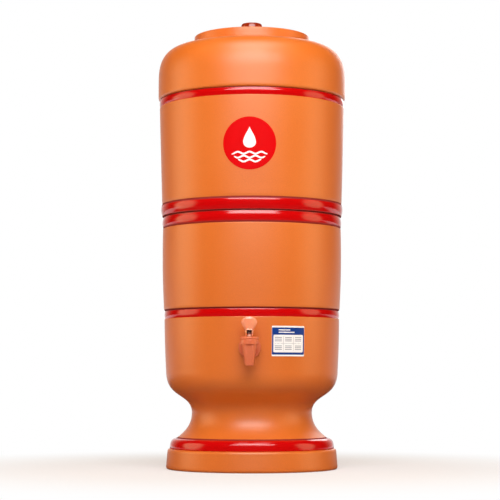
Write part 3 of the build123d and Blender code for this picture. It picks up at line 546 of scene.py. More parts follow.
def lever_mesh():
    """The lever's skin, a ring of points at each height: a front with a bevelled border, a rounded
    side, a back and the other side. Depth in the bevel follows the distance to the outline, by
    three parts of a line and two of a smoothstep."""
    turn = np.linspace(0, pi, 60)
    height = LEVER_MIDDLE - LEVER_REACH * np.cos(turn)
    half, front, back = (side[:, None] for side in lever_sides(height))
    height = height[:, None]
    across = np.sin(np.linspace(-pi / 2, pi / 2, 25))[None, :]
    border = np.minimum(LEVER_BORDER, 0.45 * half + 0.05)
    middle, edge = (front + back) / 2, np.minimum(LEVER_EDGE, (back - front) / 2 * 0.45)
    below_crown = (LEVER_MIDDLE + LEVER_REACH - height) * 0.9
    inside = np.minimum(half * (1 - np.abs(across)), below_crown)
    share = np.clip(inside / border, 0, 1)
    raised = 0.6 * share + 0.4 * smoothstep(share)
    side = np.linspace(-pi / 2, pi / 2, 7)[None, 1:-1]
    soft = np.minimum(0.45, half * 0.4)
    x = (half - soft) * across
    rim = half - soft + soft * np.cos(side)
    front_y = middle - edge - (middle - edge - front) * raised
    back_y = middle + edge + (back - middle - edge) * raised
    side_y = middle + edge * np.sin(side)
    ring_x = np.concatenate([x, rim, x[:, ::-1], -rim], axis=1)
    ring_y = np.concatenate([front_y, side_y, back_y[:, ::-1], side_y[:, ::-1]], axis=1)
    return capped(np.stack([ring_x, ring_y, height + 0 * ring_x], axis=-1))


def block(outline, back, front):
    """An outline in x and z carried along y from its back to its front."""
    return capped(np.stack([np.insert(outline, 1, depth, axis=1) for depth in (back, front)]))


def coil_mesh(radius, wire, turns, foot, top):
    """A wire wound in a helix: its middle goes evenly round the axis as it rises, in 48 steps a
    turn, and a circle of twelve points stands square to it at each."""
    turn = np.linspace(0, turns * tau, turns * 48 + 1)[:, None]
    pitch = (top - foot) / (turns * tau)
    out = np.concatenate([np.cos(turn), np.sin(turn), 0 * turn], axis=1)
    middle = radius * out + np.concatenate([0 * turn, 0 * turn, foot + pitch * turn], axis=1)
    run = np.concatenate([-radius * np.sin(turn), radius * np.cos(turn), pitch + 0 * turn], axis=1)
    over = np.cross(run / np.hypot(radius, pitch), out)
    around = np.linspace(0, tau, 12, endpoint=False)[None, :, None]
    ring = np.cos(around) * out[:, None] + np.sin(around) * over[:, None]
    return capped(middle[:, None] + wire / 2 * ring)


def merged(mesh):
    """Joins a mesh's points that lie in one place, within a thousandth of a millimetre."""
    shell = bmesh.new()
    shell.from_mesh(mesh)
    bmesh.ops.remove_doubles(shell, verts=shell.verts, dist=0.001 * MILLIMETRE)
    shell.to_mesh(mesh)
    shell.free()
    return mesh


def cut(piece, *cutters):
    """Takes the cutters out of the piece. The walls of a hole get its cutter's material."""
    for cutter in cutters:
        hole = piece.modifiers.new(cutter.name, "BOOLEAN")
        hole.operation, hole.solver, hole.object = "DIFFERENCE", "EXACT", cutter
        hole.material_mode = "TRANSFER"
    apply_modifiers(piece)
    for cutter in cutters:
        bpy.data.objects.remove(cutter)
    return piece


def bonnet_outline():
    """Under the skirt and up the outside over its groove and lip, across the top and down the
    rod's hole, the spring's room and the thread."""
    return (
        line((9.05, 162.5), (10.9, 162.5)),
        bezier((10.9, 162.5), (11.3, 162.5), (11.35, 163.0), step=0.2),
        swell((11.35, 163.0), (11.35, 168.1), 0.12),
        bezier((11.35, 168.1), (11.3, 168.5), (10.95, 168.7), (10.95, 168.9), step=0.2),
        bezier((10.95, 168.9), (10.95, 169.2), (11.7, 169.2), (11.7, 169.7), step=0.2),
        line((11.7, 169.7), (11.7, 170.2)),
        bezier((11.7, 170.2), (11.7, 171.5), (11.1, 172.3), (9.4, 172.3), step=0.2),
        line((9.4, 172.3), (2.0, 172.3)),
        bezier((2.0, 172.3), (1.55, 172.3), (1.55, 171.9), step=0.2),
        line((1.55, 171.9), (1.55, 170.9)),
        line((1.55, 170.9), (5.65, 170.9)),
        line((5.65, 170.9), (5.65, 168.0)),
        line((5.65, 168.0), (9.05, 168.0)),
        line((9.05, 168.0), (9.05, 162.5)),
    )


# ------------------------------------------------------------------ stickers
# Radius and height at the wall's foot and head, and its bulge
UPPER_WALL = ((120.8, 355.8), (124.2, 482.4), 0.15)
LOWER_WALL = ((114.6, 129.8), (116.8, 198.6), 0.45)
BADGE_HEIGHT = 419.6
LABEL_HEIGHT, LABEL_TURN = 167.3, radians(25.2)


def on_wall(flat, wall, turn, centre, lift):
    """Lays flat points on a wall, seen square on: across is the chord, up is the height, and depth
    follows from the wall's radius there, a straight taper plus a parabola, plus lift."""
    (foot_radius, foot), (head_radius, head), bulge = wall
    across, z = flat[..., 0], flat[..., 1] + centre
    share = (z - foot) / (head - foot)
    taper = foot_radius + (head_radius - foot_radius) * share
    radius = taper + 4 * bulge * share * (1 - share) + lift
    bearing = turn - pi / 2 + np.arcsin(across / radius)
    return np.stack([radius * np.cos(bearing), radius * np.sin(bearing), z], axis=-1)


def filled(outline, rings=10):
    """Grid from the outline's middle out to it: the middle plus a share of the way to each
    point."""
    middle = outline.mean(axis=0)
    share = np.linspace(0.02, 1, rings)[:, None, None]
    return middle + (outline[None] - middle) * share


def ribbon(middle, half_width):
    """Grid across a line: each point goes out to both sides, square to the line's run."""
    run = np.gradient(middle, axis=0)
    side = np.stack([-run[:, 1], run[:, 0]], axis=1) / np.linalg.norm(run, axis=1)[:, None]
    across = np.linspace(-1, 1, 5)[:, None, None]
    return middle[None] + side[None] * (half_width[None, :, None] * across)


def circle(radius, count=160):
    """Outline of a circle: cosine and sine of the turn times the radius."""
    t = np.arange(count) / count * tau
    return np.stack([radius * np.cos(t), radius * np.sin(t)], axis=1)


def rounded_box(width, height, corner, centre=(0, 0), step=1.2):
    """Outline of a rectangle with round corners: quarter circles about four corner centres, and
    points along the straight sides, so that they follow the wall."""
    signs = np.array([(1, 1), (-1, 1), (-1, -1), (1, -1)])
    middles = signs * (width / 2 - corner, height / 2 - corner)
    arc = np.linspace(0, pi / 2, 7)
    quarters = [
        middle + corner * np.stack([np.cos(arc + turn), np.sin(arc + turn)], axis=1)
        for middle, turn in zip(middles, np.arange(4) * pi / 2)
    ]
    ends = zip(quarters, quarters[1:] + quarters[:1])
    sides = [bezier(before[-1], after[0], step=step)[1:-1] for before, after in ends]
    return np.concatenate([run for pair in zip(quarters, sides) for run in pair]) + centre


def drop(width, height, centre, count=160):
    """Outline of a water drop: across is the sine of the turn times its half sine to the power 1.6,
    up is its cosine."""
    t = np.arange(count) / count * tau
    x = width * 0.62 * np.sin(t) * np.sin(t / 2) ** 1.6
    return np.stack([-x, height / 2 * np.cos(t)], axis=1) + np.array(centre)


def sheet_skin(outer, inner, closed):
    """Points and faces of a thin sheet between an outer and an inner grid. A closed grid goes round
    its middle, with a fan there on each side, and has one rim. An open one has a rim all round."""
    rows, columns = outer.shape[:2]
    count = rows * columns
    points = [outer.reshape(-1, 3), inner.reshape(-1, 3)]
    quads = grid_faces(rows, columns, closed_columns=closed)
    faces = [quads, quads[:, ::-1] + count]
    if closed:
        first = np.arange(columns)
        rim = count - columns + first
        after = np.roll(rim, -1)
        fan = np.stack([first, np.roll(first, -1)], axis=1)
        points.append(np.stack([outer[0].mean(axis=0), inner[0].mean(axis=0)]))
        faces += [
            np.stack([rim, after, after + count, rim + count], axis=1),
            np.column_stack([fan[:, ::-1], np.full(columns, 2 * count)]),
            np.column_stack([fan + count, np.full(columns, 2 * count + 1)]),
        ]
        # A filled outline's grid runs clockwise, seen from outside, so its faces are turned.
        faces = [group[:, ::-1] for group in faces]
    else:
        rim = np.concatenate(
            [
                np.arange(columns),
                np.arange(2, rows) * columns - 1,
                np.arange(count - 1, count - columns, -1),
                np.arange(rows - 1, 0, -1) * columns,
            ]
        )
        after = np.roll(rim, -1)
        faces.append(np.stack([after, rim, rim + count, after + count], axis=1))
    return np.concatenate(points), faces


def sticker(name, node, body, wall, turn, centre, layers, materials):
    """A printed sticker of closed sheets: each layer is a flat grid with its lift off the wall, its
    thickness, its material and whether it goes round a middle or is a ribbon."""
    points, faces, kinds, start = [], [], [], 0
    for grid, lift, thickness, kind, closed in layers:
        outer, inner = (on_wall(grid, wall, turn, centre, h) for h in (lift, lift - thickness))
        sheet, groups = sheet_skin(outer, inner, closed)
        points.append(sheet)
        faces += [group + start for group in groups]
        kinds += [np.full(len(group), kind) for group in groups]
        start += len(sheet)
    piece = mesh_object(name, np.concatenate(points), faces)
    for made in materials:
        piece.data.materials.append(made)
    piece.data.polygons.foreach_set("material_index", np.concatenate(kinds).astype(np.int32))
    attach(piece, body)
    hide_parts(node)
    return shade(piece)


# ------------------------------------------------------------------ materials
TERRACOTTA = "Terracotta, waxed, with red enamel rings"
NITRILE = "Nitrile rubber, pressed"
# Where the values of a noise mostly lie
NOISE_SPAN = {"From Min": 0.3, "From Max": 0.7}
KNOB_FOOT = (579.8, 580.2)  # heights between which the lid's collar ends and its knob begins


def add(tree, kind, inputs=None, **settings):
    """Adds one node with its settings. Inputs take a value or another node's output socket."""
    made = tree.nodes.new(kind)
    for name, value in settings.items():
        setattr(made, name, value)
    for key, value in (inputs or {}).items():
        if isinstance(value, bpy.types.NodeSocket):
            tree.links.new(value, made.inputs[key])
        else:
            made.inputs[key].default_value = value
    return made


def material(name):
    """An empty node material, its tree and its Object coordinates."""
    made = bpy.data.materials.new(name)
    made.use_nodes = True
    made.node_tree.nodes.clear()
    position = add(made.node_tree, "ShaderNodeTexCoord").outputs["Object"]
    return made, made.node_tree, position


def seen_ray(tree, along):
    """One for camera rays, and for rays from gloss and through glass that meet the white backdrop
    behind the filter. The backdrop comes in where the y of a direction, or of a place in metres,
    goes from 0.6 to 1. In front is a dim room."""
    path = add(tree, "ShaderNodeLightPath")
    parts = add(tree, "ShaderNodeSeparateXYZ", {"Vector": along})
    behind = add(
        tree,
        "ShaderNodeMapRange",
        {"Value": parts.outputs["Y"], "From Min": 0.6, "From Max": 1.0},
    )
    gloss = add(
        tree,
        "ShaderNodeMath",
        {0: path.outputs["Is Glossy Ray"], 1: path.outputs["Is Transmission Ray"]},
        operation="MAXIMUM",
    )
    gloss = add(
        tree,
        "ShaderNodeMath",
        {0: gloss.outputs[0], 1: behind.outputs["Result"]},
        operation="MULTIPLY",
    )
    return add(
        tree,
        "ShaderNodeMath",
        {0: path.outputs["Is Camera Ray"], 1: gloss.outputs[0]},
        operation="MAXIMUM",
    ).outputs[0]


def per_metre(millimetres):
    """Texture scale whose features are about that wide."""
    return 1 / (millimetres * MILLIMETRE)


def terracotta_material(settings):
    """Terracotta, thrown on a wheel, fired and waxed, with rings of brushed enamel.

    The clay is orange and satin, slightly mottled by the fire, with faint turns of the potter's
    fingers and fine grit. The enamel lies on it as a thin glossy coat with soft edges and a few
    streaks of the brush.
    """
    made, tree, position = material(TERRACOTTA)
    # Clouds about 70 mm wide from the fire, and grit.
    clouds = add(
        tree,
        "ShaderNodeTexNoise",
        {"Vector": position, "Scale": per_metre(70), "Detail": 4.0, "Roughness": 0.55},
    ).outputs["Fac"]
    grit = add(
        tree,
        "ShaderNodeTexNoise",
        {
            "Vector": position,
            "Scale": per_metre(settings.grain / MILLIMETRE),
            "Detail": 2.0,
            "Roughness": 0.6,
        },
    ).outputs["Fac"]
    # The turns of the fingers: bands up the wall, bent by the clouds. At scale 1 a band is tau / 20
    # wide.
    turns = add(
        tree,
        "ShaderNodeTexWave",
        {
            "Vector": position,
            "Scale": tau / 20 / settings.throwing_pitch,
            "Distortion": 3.0,
            "Detail": 1.0,
            "Detail Scale": 0.15,
        },
        wave_type="BANDS",
        bands_direction="Z",
    ).outputs["Fac"]
    # Streaks of the brush: noise drawn out round the ring, 2 mm high and about 30 mm long.
    drawn = add(tree, "ShaderNodeMapping", {"Vector": position, "Scale": (1, 1, 15)})
    streaks = add(
        tree,
        "ShaderNodeTexNoise",
        {
            "Vector": drawn.outputs["Vector"],
            "Scale": per_metre(30),
            "Detail": 2.0,
            "Roughness": 0.5,
        },
    ).outputs["Fac"]
    # The painted edge wavers by a fraction of a millimetre over about 9 mm.
    waver = add(
        tree,
        "ShaderNodeTexNoise",
        {"Vector": position, "Scale": per_metre(9), "Detail": 2.0, "Roughness": 0.5},
    )
    moved = add(
        tree,
        "ShaderNodeMapRange",
        {
            "Value": waver.outputs["Fac"],
            **NOISE_SPAN,
            "To Min": -settings.brush_waver / MILLIMETRE,
            "To Max": settings.brush_waver / MILLIMETRE,
        },
    )
    edge = add(
        tree, "ShaderNodeAttribute", attribute_name="paint_edge", attribute_type="GEOMETRY"
    )
    inside = add(
        tree,
        "ShaderNodeMath",
        {0: edge.outputs["Fac"], 1: moved.outputs["Result"]},
        operation="ADD",
    ).outputs[0]
    painted = add(
        tree, "ShaderNodeMapRange", {"Value": inside, "From Min": -0.08, "From Max": 0.08}
    ).outputs["Result"]
    # Enamel stands 0.1 mm proud and rounds off over half a millimetre.
    coat = add(
        tree,
        "ShaderNodeMapRange",
        {"Value": inside, "From Min": -0.1, "From Max": 0.5},
        interpolation_type="SMOOTHSTEP",
    ).outputs["Result"]
    clay = add(
        tree,
        "ShaderNodeMix",
        {"Factor": clouds, "A": (*settings.clay, 1), "B": (*settings.clay_pale, 1)},
        data_type="RGBA",
    )
    speckled = add(
        tree, "ShaderNodeMapRange", {"Value": grit, **NOISE_SPAN, "To Min": 0.94, "To Max": 1.05}
    )
    clay_colour = add(
        tree,
        "ShaderNodeMix",
        {"Factor": 1.0, "A": clay.outputs["Result"], "B": speckled.outputs["Result"]},
        data_type="RGBA",
        blend_type="MULTIPLY",
    )
    # A dull dark line about 1.5 mm wide in the joints and grooves is painted shade.
    groove = add(
        tree, "ShaderNodeAttribute", attribute_name="from_joint", attribute_type="GEOMETRY"
    )
    groove_shade = add(
        tree,
        "ShaderNodeMapRange",
        {
            "Value": groove.outputs["Fac"],
            "From Min": 0.9,
            "From Max": 2.1,
            "To Min": 1.0,
            "To Max": 0.0,
        },
        interpolation_type="SMOOTHSTEP",
    ).outputs["Result"]
    # The knob's enamel, above the lid's collar, is darkened as painted shade.
    knob = add(
        tree,
        "ShaderNodeMapRange",
        {
            "Value": add(tree, "ShaderNodeSeparateXYZ", {"Vector": position}).outputs["Z"],
            "From Min": KNOB_FOOT[0] * MILLIMETRE,
            "From Max": KNOB_FOOT[1] * MILLIMETRE,
        },
    )
    enamel = add(
        tree,
        "ShaderNodeMix",
        {
            "Factor": knob.outputs["Result"],
            "A": (*settings.enamel, 1),
            "B": (*settings.knob_painted_shade, 1),
        },
        data_type="RGBA",
    )
    covered = add(
        tree,
        "ShaderNodeMix",
        {
            "Factor": painted,
            "A": clay_colour.outputs["Result"],
            "B": enamel.outputs["Result"],
        },
        data_type="RGBA",
    )
    base = add(
        tree,
        "ShaderNodeMix",
        {
            "Factor": groove_shade,
            "A": covered.outputs["Result"],
            "B": (*settings.groove_painted_shade, 1),
        },
        data_type="RGBA",
    )
    clay_rough = add(
        tree, "ShaderNodeMapRange", {"Value": clouds, **NOISE_SPAN, "To Min": 0.35, "To Max": 0.42}
    )
    enamel_rough = add(
        tree,
        "ShaderNodeMapRange",
        {"Value": streaks, **NOISE_SPAN, "To Min": 0.09, "To Max": 0.13},
    )
    rough = add(
        tree,
        "ShaderNodeMix",
        {
            "Factor": painted,
            "A": clay_rough.outputs["Result"],
            "B": enamel_rough.outputs["Result"],
        },
    )
    rough = add(tree, "ShaderNodeMix", {"Factor": groove_shade, "A": rough.outputs["Result"], "B": 0.8})
    # Wax lies on the bare clay as a satin coat, and neither on the enamel nor on the painted shade
    # in the joints.
    bare = add(tree, "ShaderNodeMath", {0: 1.0, 1: painted}, operation="SUBTRACT")
    open_clay = add(tree, "ShaderNodeMath", {0: 1.0, 1: groove_shade}, operation="SUBTRACT")
    waxed = add(
        tree,
        "ShaderNodeMath",
        {0: bare.outputs[0], 1: open_clay.outputs[0]},
        operation="MULTIPLY",
    )
    waxed = add(tree, "ShaderNodeMath", {0: waxed.outputs[0], 1: 0.6}, operation="MULTIPLY")
    # The bump's unit is 0.1 mm. Turns are 0.03 and grit 0.02 of it, both gone under the enamel,
    # which is one high with streaks of 0.06.
    relief = add(
        tree, "ShaderNodeMath", {0: turns, 1: 0.03, 2: 0.0}, operation="MULTIPLY_ADD"
    )
    relief = add(
        tree,
        "ShaderNodeMath",
        {0: grit, 1: 0.02, 2: relief.outputs[0]},
        operation="MULTIPLY_ADD",
    )
    painted_relief = add(
        tree, "ShaderNodeMath", {0: streaks, 1: 0.06, 2: coat}, operation="MULTIPLY_ADD"
    )
    height = add(
        tree,
        "ShaderNodeMix",
        {"Factor": painted, "A": relief.outputs[0], "B": painted_relief.outputs[0]},
    )
    bump = add(
        tree,
        "ShaderNodeBump",
        {"Strength": 1.0, "Distance": 0.1 * MILLIMETRE, "Height": height.outputs["Result"]},
    )
    shader = add(
        tree,
        "ShaderNodeBsdfPrincipled",
        {
            "Base Color": base.outputs["Result"],
            "Roughness": rough.outputs["Result"],
            "IOR": 1.5,
            "Specular IOR Level": 0.65,
            "Coat Weight": waxed.outputs[0],
            "Coat Roughness": 0.42,
            "Coat IOR": 1.5,
            "Normal": bump.outputs["Normal"],
        },
    )
    add(tree, "ShaderNodeOutputMaterial", {"Surface": shader.outputs["BSDF"]})
    return made


def clay_material(settings):
    """The one clay material, made at the first call."""
    return bpy.data.materials.get(TERRACOTTA) or terracotta_material(settings)


def moulded_material(
    name,
    base_colour,
    roughness,
    ior,
    texture,
    shift=0.04,
    subsurface=0.0,
    coat=0.0,
    metallic=0.0,
):
    """A moulded, pressed or printed material: one colour with a slight cloudiness about 12 mm
    wide, and a fine skin whose texture is so many millimetres wide."""
    made, tree, position = material(name)
    clouds = add(
        tree, "ShaderNodeTexNoise", {"Vector": position, "Scale": per_metre(12), "Detail": 3.0}
    )
    skin = add(
        tree,
        "ShaderNodeTexNoise",
        {"Vector": position, "Scale": per_metre(texture), "Detail": 2.0, "Roughness": 0.6},
    ).outputs["Fac"]
    tone = add(
        tree,
        "ShaderNodeMapRange",
        {
            "Value": clouds.outputs["Fac"],
            **NOISE_SPAN,
            "To Min": 1 - shift,
            "To Max": 1 + shift,
        },
    )
    base = add(
        tree,
        "ShaderNodeMix",
        {"Factor": 1.0, "A": (*base_colour, 1), "B": tone.outputs["Result"]},
        data_type="RGBA",
        blend_type="MULTIPLY",
    )
    rough = add(
        tree,
        "ShaderNodeMapRange",
        {
            "Value": skin,
            **NOISE_SPAN,
            "To Min": roughness * 0.85,
            "To Max": roughness * 1.15,
        },
    )
    bump = add(
        tree,
        "ShaderNodeBump",
        {"Strength": 0.5, "Distance": texture * 0.02 * MILLIMETRE, "Height": skin},
    )
    shader = add(
        tree,
        "ShaderNodeBsdfPrincipled",
        {
            "Base Color": base.outputs["Result"],
            "Roughness": rough.outputs["Result"],
            "IOR": ior,
            "Metallic": metallic,
            "Normal": bump.outputs["Normal"],
        },
    )
    if coat:
        shader.inputs["Coat Weight"].default_value = coat
        shader.inputs["Coat Roughness"].default_value = 0.1
    if subsurface:
        shader.inputs["Subsurface Weight"].default_value = subsurface
        shader.inputs["Subsurface Scale"].default_value = 1.5 * MILLIMETRE
    add(tree, "ShaderNodeOutputMaterial", {"Surface": shader.outputs["BSDF"]})
    return made


def shaded_above(made, painted_shade, low, high):
    """Covers a material with painted shade of another colour above a range of heights in
    millimetres.
    """
    tree = made.node_tree
    shader = next(node for node in tree.nodes if node.type == "BSDF_PRINCIPLED")
    position = next(node for node in tree.nodes if node.type == "TEX_COORD").outputs["Object"]
    share = add(
        tree,
        "ShaderNodeMapRange",
        {
            "Value": add(tree, "ShaderNodeSeparateXYZ", {"Vector": position}).outputs["Z"],
            "From Min": low * MILLIMETRE,
            "From Max": high * MILLIMETRE,
        },
    )
    own = shader.inputs["Base Color"].links[0].from_socket
    mixed = add(
        tree,
        "ShaderNodeMix",
        {"Factor": share.outputs["Result"], "A": own, "B": (*painted_shade, 1)},
        data_type="RGBA",
    )
    tree.links.new(mixed.outputs["Result"], shader.inputs["Base Color"])
    return made


def dress(nodes, made):
    """Gives CAD nodes a material on their own slots."""
    for name in nodes:
        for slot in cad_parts[name].material_slots:
            slot.material = made


# ------------------------------------------------------------------ operators
class CLAYFILTER_OT_lower_chamber(bpy.types.Operator):
    """Turns the footed lower chamber and bores the tap's hole"""

    bl_idname = "clayfilter.lower_chamber"
    bl_label = "Lower chamber"

    def execute(self, context):
        settings = context.scene.clay_filter.clay
        piece = turned_clay(
            "clay_lower_chamber",
            "lower_chamber",
            "lower_body",
            lower_outline(),
            LOWER_JOINTS,
            settings,
        )
        cut_tap_hole(piece)
        piece.data.materials.clear()
        piece.data.materials.append(clay_material(settings))
        shade(piece)
        return {"FINISHED"}


class CLAYFILTER_OT_upper_chamber(bpy.types.Operator):
    """Turns the upper chamber with its spigot and candle hole"""

    bl_idname = "clayfilter.upper_chamber"
    bl_label = "Upper chamber"

    def execute(self, context):
        settings = context.scene.clay_filter.clay
        piece = turned_clay(
            "clay_upper_chamber",
            "upper_chamber",
            "upper_body",
            upper_outline(),
            UPPER_JOINTS,
            settings,
        )
        piece.data.materials.append(clay_material(settings))
        shade(piece)
        return {"FINISHED"}


class CLAYFILTER_OT_lid(bpy.types.Operator):
    """Turns the domed lid with its collar and knob"""

    bl_idname = "clayfilter.lid"
    bl_label = "Lid"

    def execute(self, context):
        settings = context.scene.clay_filter.clay
        piece = turned_clay("clay_lid", "lid", "lid_body", lid_outline(), LID_JOINTS, settings)
        piece.data.materials.append(clay_material(settings))
        shade(piece)
        return {"FINISHED"}


class CLAYFILTER_OT_badge(bpy.types.Operator):
    """Makes the round badge with a water drop over waves"""

    bl_idname = "clayfilter.badge"
    bl_label = "Badge"

    def execute(self, context):
        settings = context.scene.clay_filter.stickers
        # Vinyl, screen printed: flat glossy colour, with the ink standing a little proud.
        red = moulded_material(
            "Vinyl, printed red, gloss", settings.badge_red, 0.15, 1.4, 0.8, shift=0.015
        )
        white = moulded_material(
            "Screen ink, white, gloss", settings.ink_white, 0.3, 1.5, 0.6, shift=0.01
        )
        layers = [
            (filled(circle(34), rings=24), 0.3, 0.25, 0, True),
            (filled(drop(19, 27, (0, 7.5)), rings=14), 0.35, 0.05, 1, True),
        ]
        pitch = settings.wave_pitch / MILLIMETRE
        # Each wave has a height and a reach to each side, and its ends are rounded off.
        for row, (height, reach) in enumerate(((-12.5, 23), (-17.5, 20), (-22.5, 15))):
            x = np.linspace(-reach, reach, 120)
            middle = np.stack([x, height + 1.3 * np.cos(x / pitch * tau + row * pi)], axis=1)
            width = 1.15 * np.clip((1 - (x / reach) ** 8), 0.02, 1) ** 0.5
            layers.append((ribbon(middle, width), 0.35, 0.05, 1, False))
        sticker(
            "badge_drop_and_waves",
            "badge",
            "upper_body",
            UPPER_WALL,
            0,
            BADGE_HEIGHT,
            layers,
            [red, white],
        )
        return {"FINISHED"}


class CLAYFILTER_OT_info_label(bpy.types.Operator):
    """Makes the label beside the tap, with a blue header, a blank panel and plain bars"""

    bl_idname = "clayfilter.info_label"
    bl_label = "Information label"

    def execute(self, context):
        settings = context.scene.clay_filter.stickers
        # Coated paper, offset printed: satin, with even solid colours.
        white = moulded_material(
            "Label paper, coated white", settings.ink_white, 0.4, 1.5, 0.7, shift=0.01
        )
        blue = moulded_material("Offset ink, blue", settings.label_blue, 0.35, 1.5, 0.7, shift=0.03)
        grey = moulded_material("Offset ink, grey", settings.ink_grey, 0.45, 1.5, 0.7, shift=0.03)
        layers = [
            (filled(rounded_box(45.4, 38.8, 1.2), rings=16), 0.3, 0.25, 0, True),
            (filled(rounded_box(45.0, 34.6, 1.0), rings=16), 0.32, 0.02, 1, True),
            (filled(rounded_box(41.4, 22.4, 1.6, (0, -3.2)), rings=16), 0.34, 0.02, 0, True),
        ]
        # Two white bars on the header, then the grey lines and bars of the panel.
        bars = [
            (16, 1.3, 0.19, (-6, 14.2), 0),
            (22, 1.3, 0.19, (-3, 11.2), 0),
            (0.4, 18, 0.19, (-7.5, -3.2), 2),
            (0.4, 18, 0.19, (6.5, -3.2), 2),
            (38, 0.4, 0.19, (0, -3.2), 2),
        ]
        for x in (-14.2, -0.5, 13.5):
            bars += [(9.5, 1.0, 0.3, (x, z), 2) for z in (4.6, 2.4, 0.2, -6.2, -8.4, -10.6)]
        for *box, kind in bars:
            layers.append((filled(rounded_box(*box), rings=5), 0.36, 0.02, kind, True))
        sticker(
            "label_header_and_bars",
            "info_label",
            "lower_body",
            LOWER_WALL,
            LABEL_TURN,
            LABEL_HEIGHT,
            layers,
            [white, blue, grey],
        )
        return {"FINISHED"}


def eased_spout(plastic):
    """The tap body's solid with round corners at the spout's tip, seen from the front."""
    spout = bpy.data.objects.new(
        "tap_body_eased", merged(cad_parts["tap_body"].data.copy())
    )
    bpy.context.scene.collection.objects.link(spout)
    spout.data.materials.clear()
    spout.data.materials.append(plastic)
    flat, over = SPOUT_HALF - SPOUT_CORNER, SPOUT_HALF + SPOUT_CORNER * SPOUT_TAPER
    corner = bezier((over, SPOUT_CORNER), (SPOUT_HALF, 0), (flat, 0), step=0.3)
    # The cutter goes on past the spout's side, tip, front and back.
    outline = np.concatenate([corner, [(flat, -1), (8, -1), (8, SPOUT_CORNER)]])
    cutters = []
    for side in (-1, 1):
        shape = outline[::-side] * (-side, 1) + (0, SPOUT_TIP)
        cutter = mesh_object("corner_cutter", *block(shape, 10, -10))
        cutter.data.materials.append(plastic)
        cutters.append(place(cutter, y=BARREL_AXIS))
    return cut(spout, *cutters)


def bevelled_lever(plastic, painted_shade):
    """The lever with its slot, whose walls carry painted shade, and its pin's hole. Both cutters go
    on past the lever."""
    width, height, corner = LEVER_SLOT
    opening = rounded_box(width, height, corner, (0, SLOT_MIDDLE))
    gap = mesh_object("slot_cutter", *block(opening, 2.5, -20))
    gap.data.materials.append(painted_shade)
    hole = np.array([(0, -12), (PIN_RADIUS, -12), (PIN_RADIUS, 12), (0, 12)], float)
    pin_hole = lathe("pin_cutter", hole, 48)
    pin_hole.data.transform(Matrix.Rotation(pi / 2, 4, "Y"))
    lever = mesh_object("lever_bevelled", *lever_mesh())
    for part in (lever, pin_hole):
        part.data.materials.append(plastic)
    return place(cut(lever, gap, pin_hole), y=BARREL_AXIS, z=PIN_HEIGHT)


class CLAYFILTER_OT_tap(bpy.types.Operator):
    """Makes the tap's body, cap, lever and spring, and gives its other solids their materials"""

    bl_idname = "clayfilter.tap"
    bl_label = "Tap"

    def execute(self, context):
        settings = context.scene.clay_filter.fittings
        # Polypropylene, injection moulded: a little translucent, waxy gloss.
        salmon = moulded_material(
            "Polypropylene, moulded salmon", settings.tap, 0.25, 1.49, 0.5, subsurface=0.15
        )
        # The lever's is polished by hands.
        pale = moulded_material(
            "Polypropylene, moulded pale salmon",
            settings.lever,
            0.14,
            1.49,
            0.5,
            subsurface=0.2,
            coat=1.0,
        )
        # Painted shade: a dark dull colour in the slot and on the rod's head stands in for the
        # shade there.
        painted_shade = moulded_material(
            "Polypropylene, water stained", settings.slot_painted_shade, 0.5, 1.49, 0.5
        )
        # Stainless steel, drawn into wire: satin, darkened to brown as painted shade for the pin in
        # the slot.
        steel = moulded_material(
            "Stainless steel, drawn", settings.steel, 0.4, 1.5, 0.3, metallic=1.0
        )
        # Acetal, turned: dense and smooth.
        acetal = moulded_material(
            "Acetal, turned pink", settings.rod, 0.28, 1.48, 0.4, subsurface=0.2
        )
        # Silicone, moulded: soft, milky.
        silicone = moulded_material(
            "Silicone, moulded", settings.silicone, 0.5, 1.41, 0.5, subsurface=0.4
        )
        # Nitrile rubber, pressed: nearly black, dull.
        nitrile = moulded_material(NITRILE, settings.rubber, 0.65, 1.52, 0.4)

        runs = [(run, False) for run in bonnet_outline()]
        cap = place(lathe("tap_cap_lipped", profile(*runs)[0][:-1], SMALL_AROUND), y=BARREL_AXIS)
        cap.data.materials.append(salmon)
        lever = bevelled_lever(pale, painted_shade)
        ends = PISTON_TOP + SPRING_GAP, SPRING_ROOF - SPRING_GAP
        wound = coil_mesh(SPRING_RADIUS, SPRING_WIRE, SPRING_TURNS, *ends)
        coil = place(mesh_object("spring_coiled", *wound), y=BARREL_AXIS)
        coil.data.materials.append(steel)
        spout = eased_spout(salmon)
        for piece, node, slot in (
            (spout, "tap_body", "tap_plastic"),
            (cap, "tap_bonnet", "tap_plastic"),
            (lever, "tap_lever", "tap_plastic"),
            (coil, "tap_spring", "steel"),
        ):
            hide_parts(node)
            shade(piece, 40)
        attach(spout, "lower_body")
        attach(cap, "lower_body")
        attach(lever, "lever_body")
        # The spring stands on the piston, which rises, and its top stays under the cap's roof.
        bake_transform(coil)

        dress(("tap_nut",), salmon)
        # The rod's head gets painted shade.
        dress(("tap_stem",), shaded_above(acetal, settings.slot_painted_shade, *ROD_SHADE))
        dress(("tap_plug",), silicone)
        dress(("tap_outer_gasket", "tap_inner_gasket", "tap_stem_ring"), nitrile)
        dress(("tap_pin",), steel)
        return {"FINISHED"}


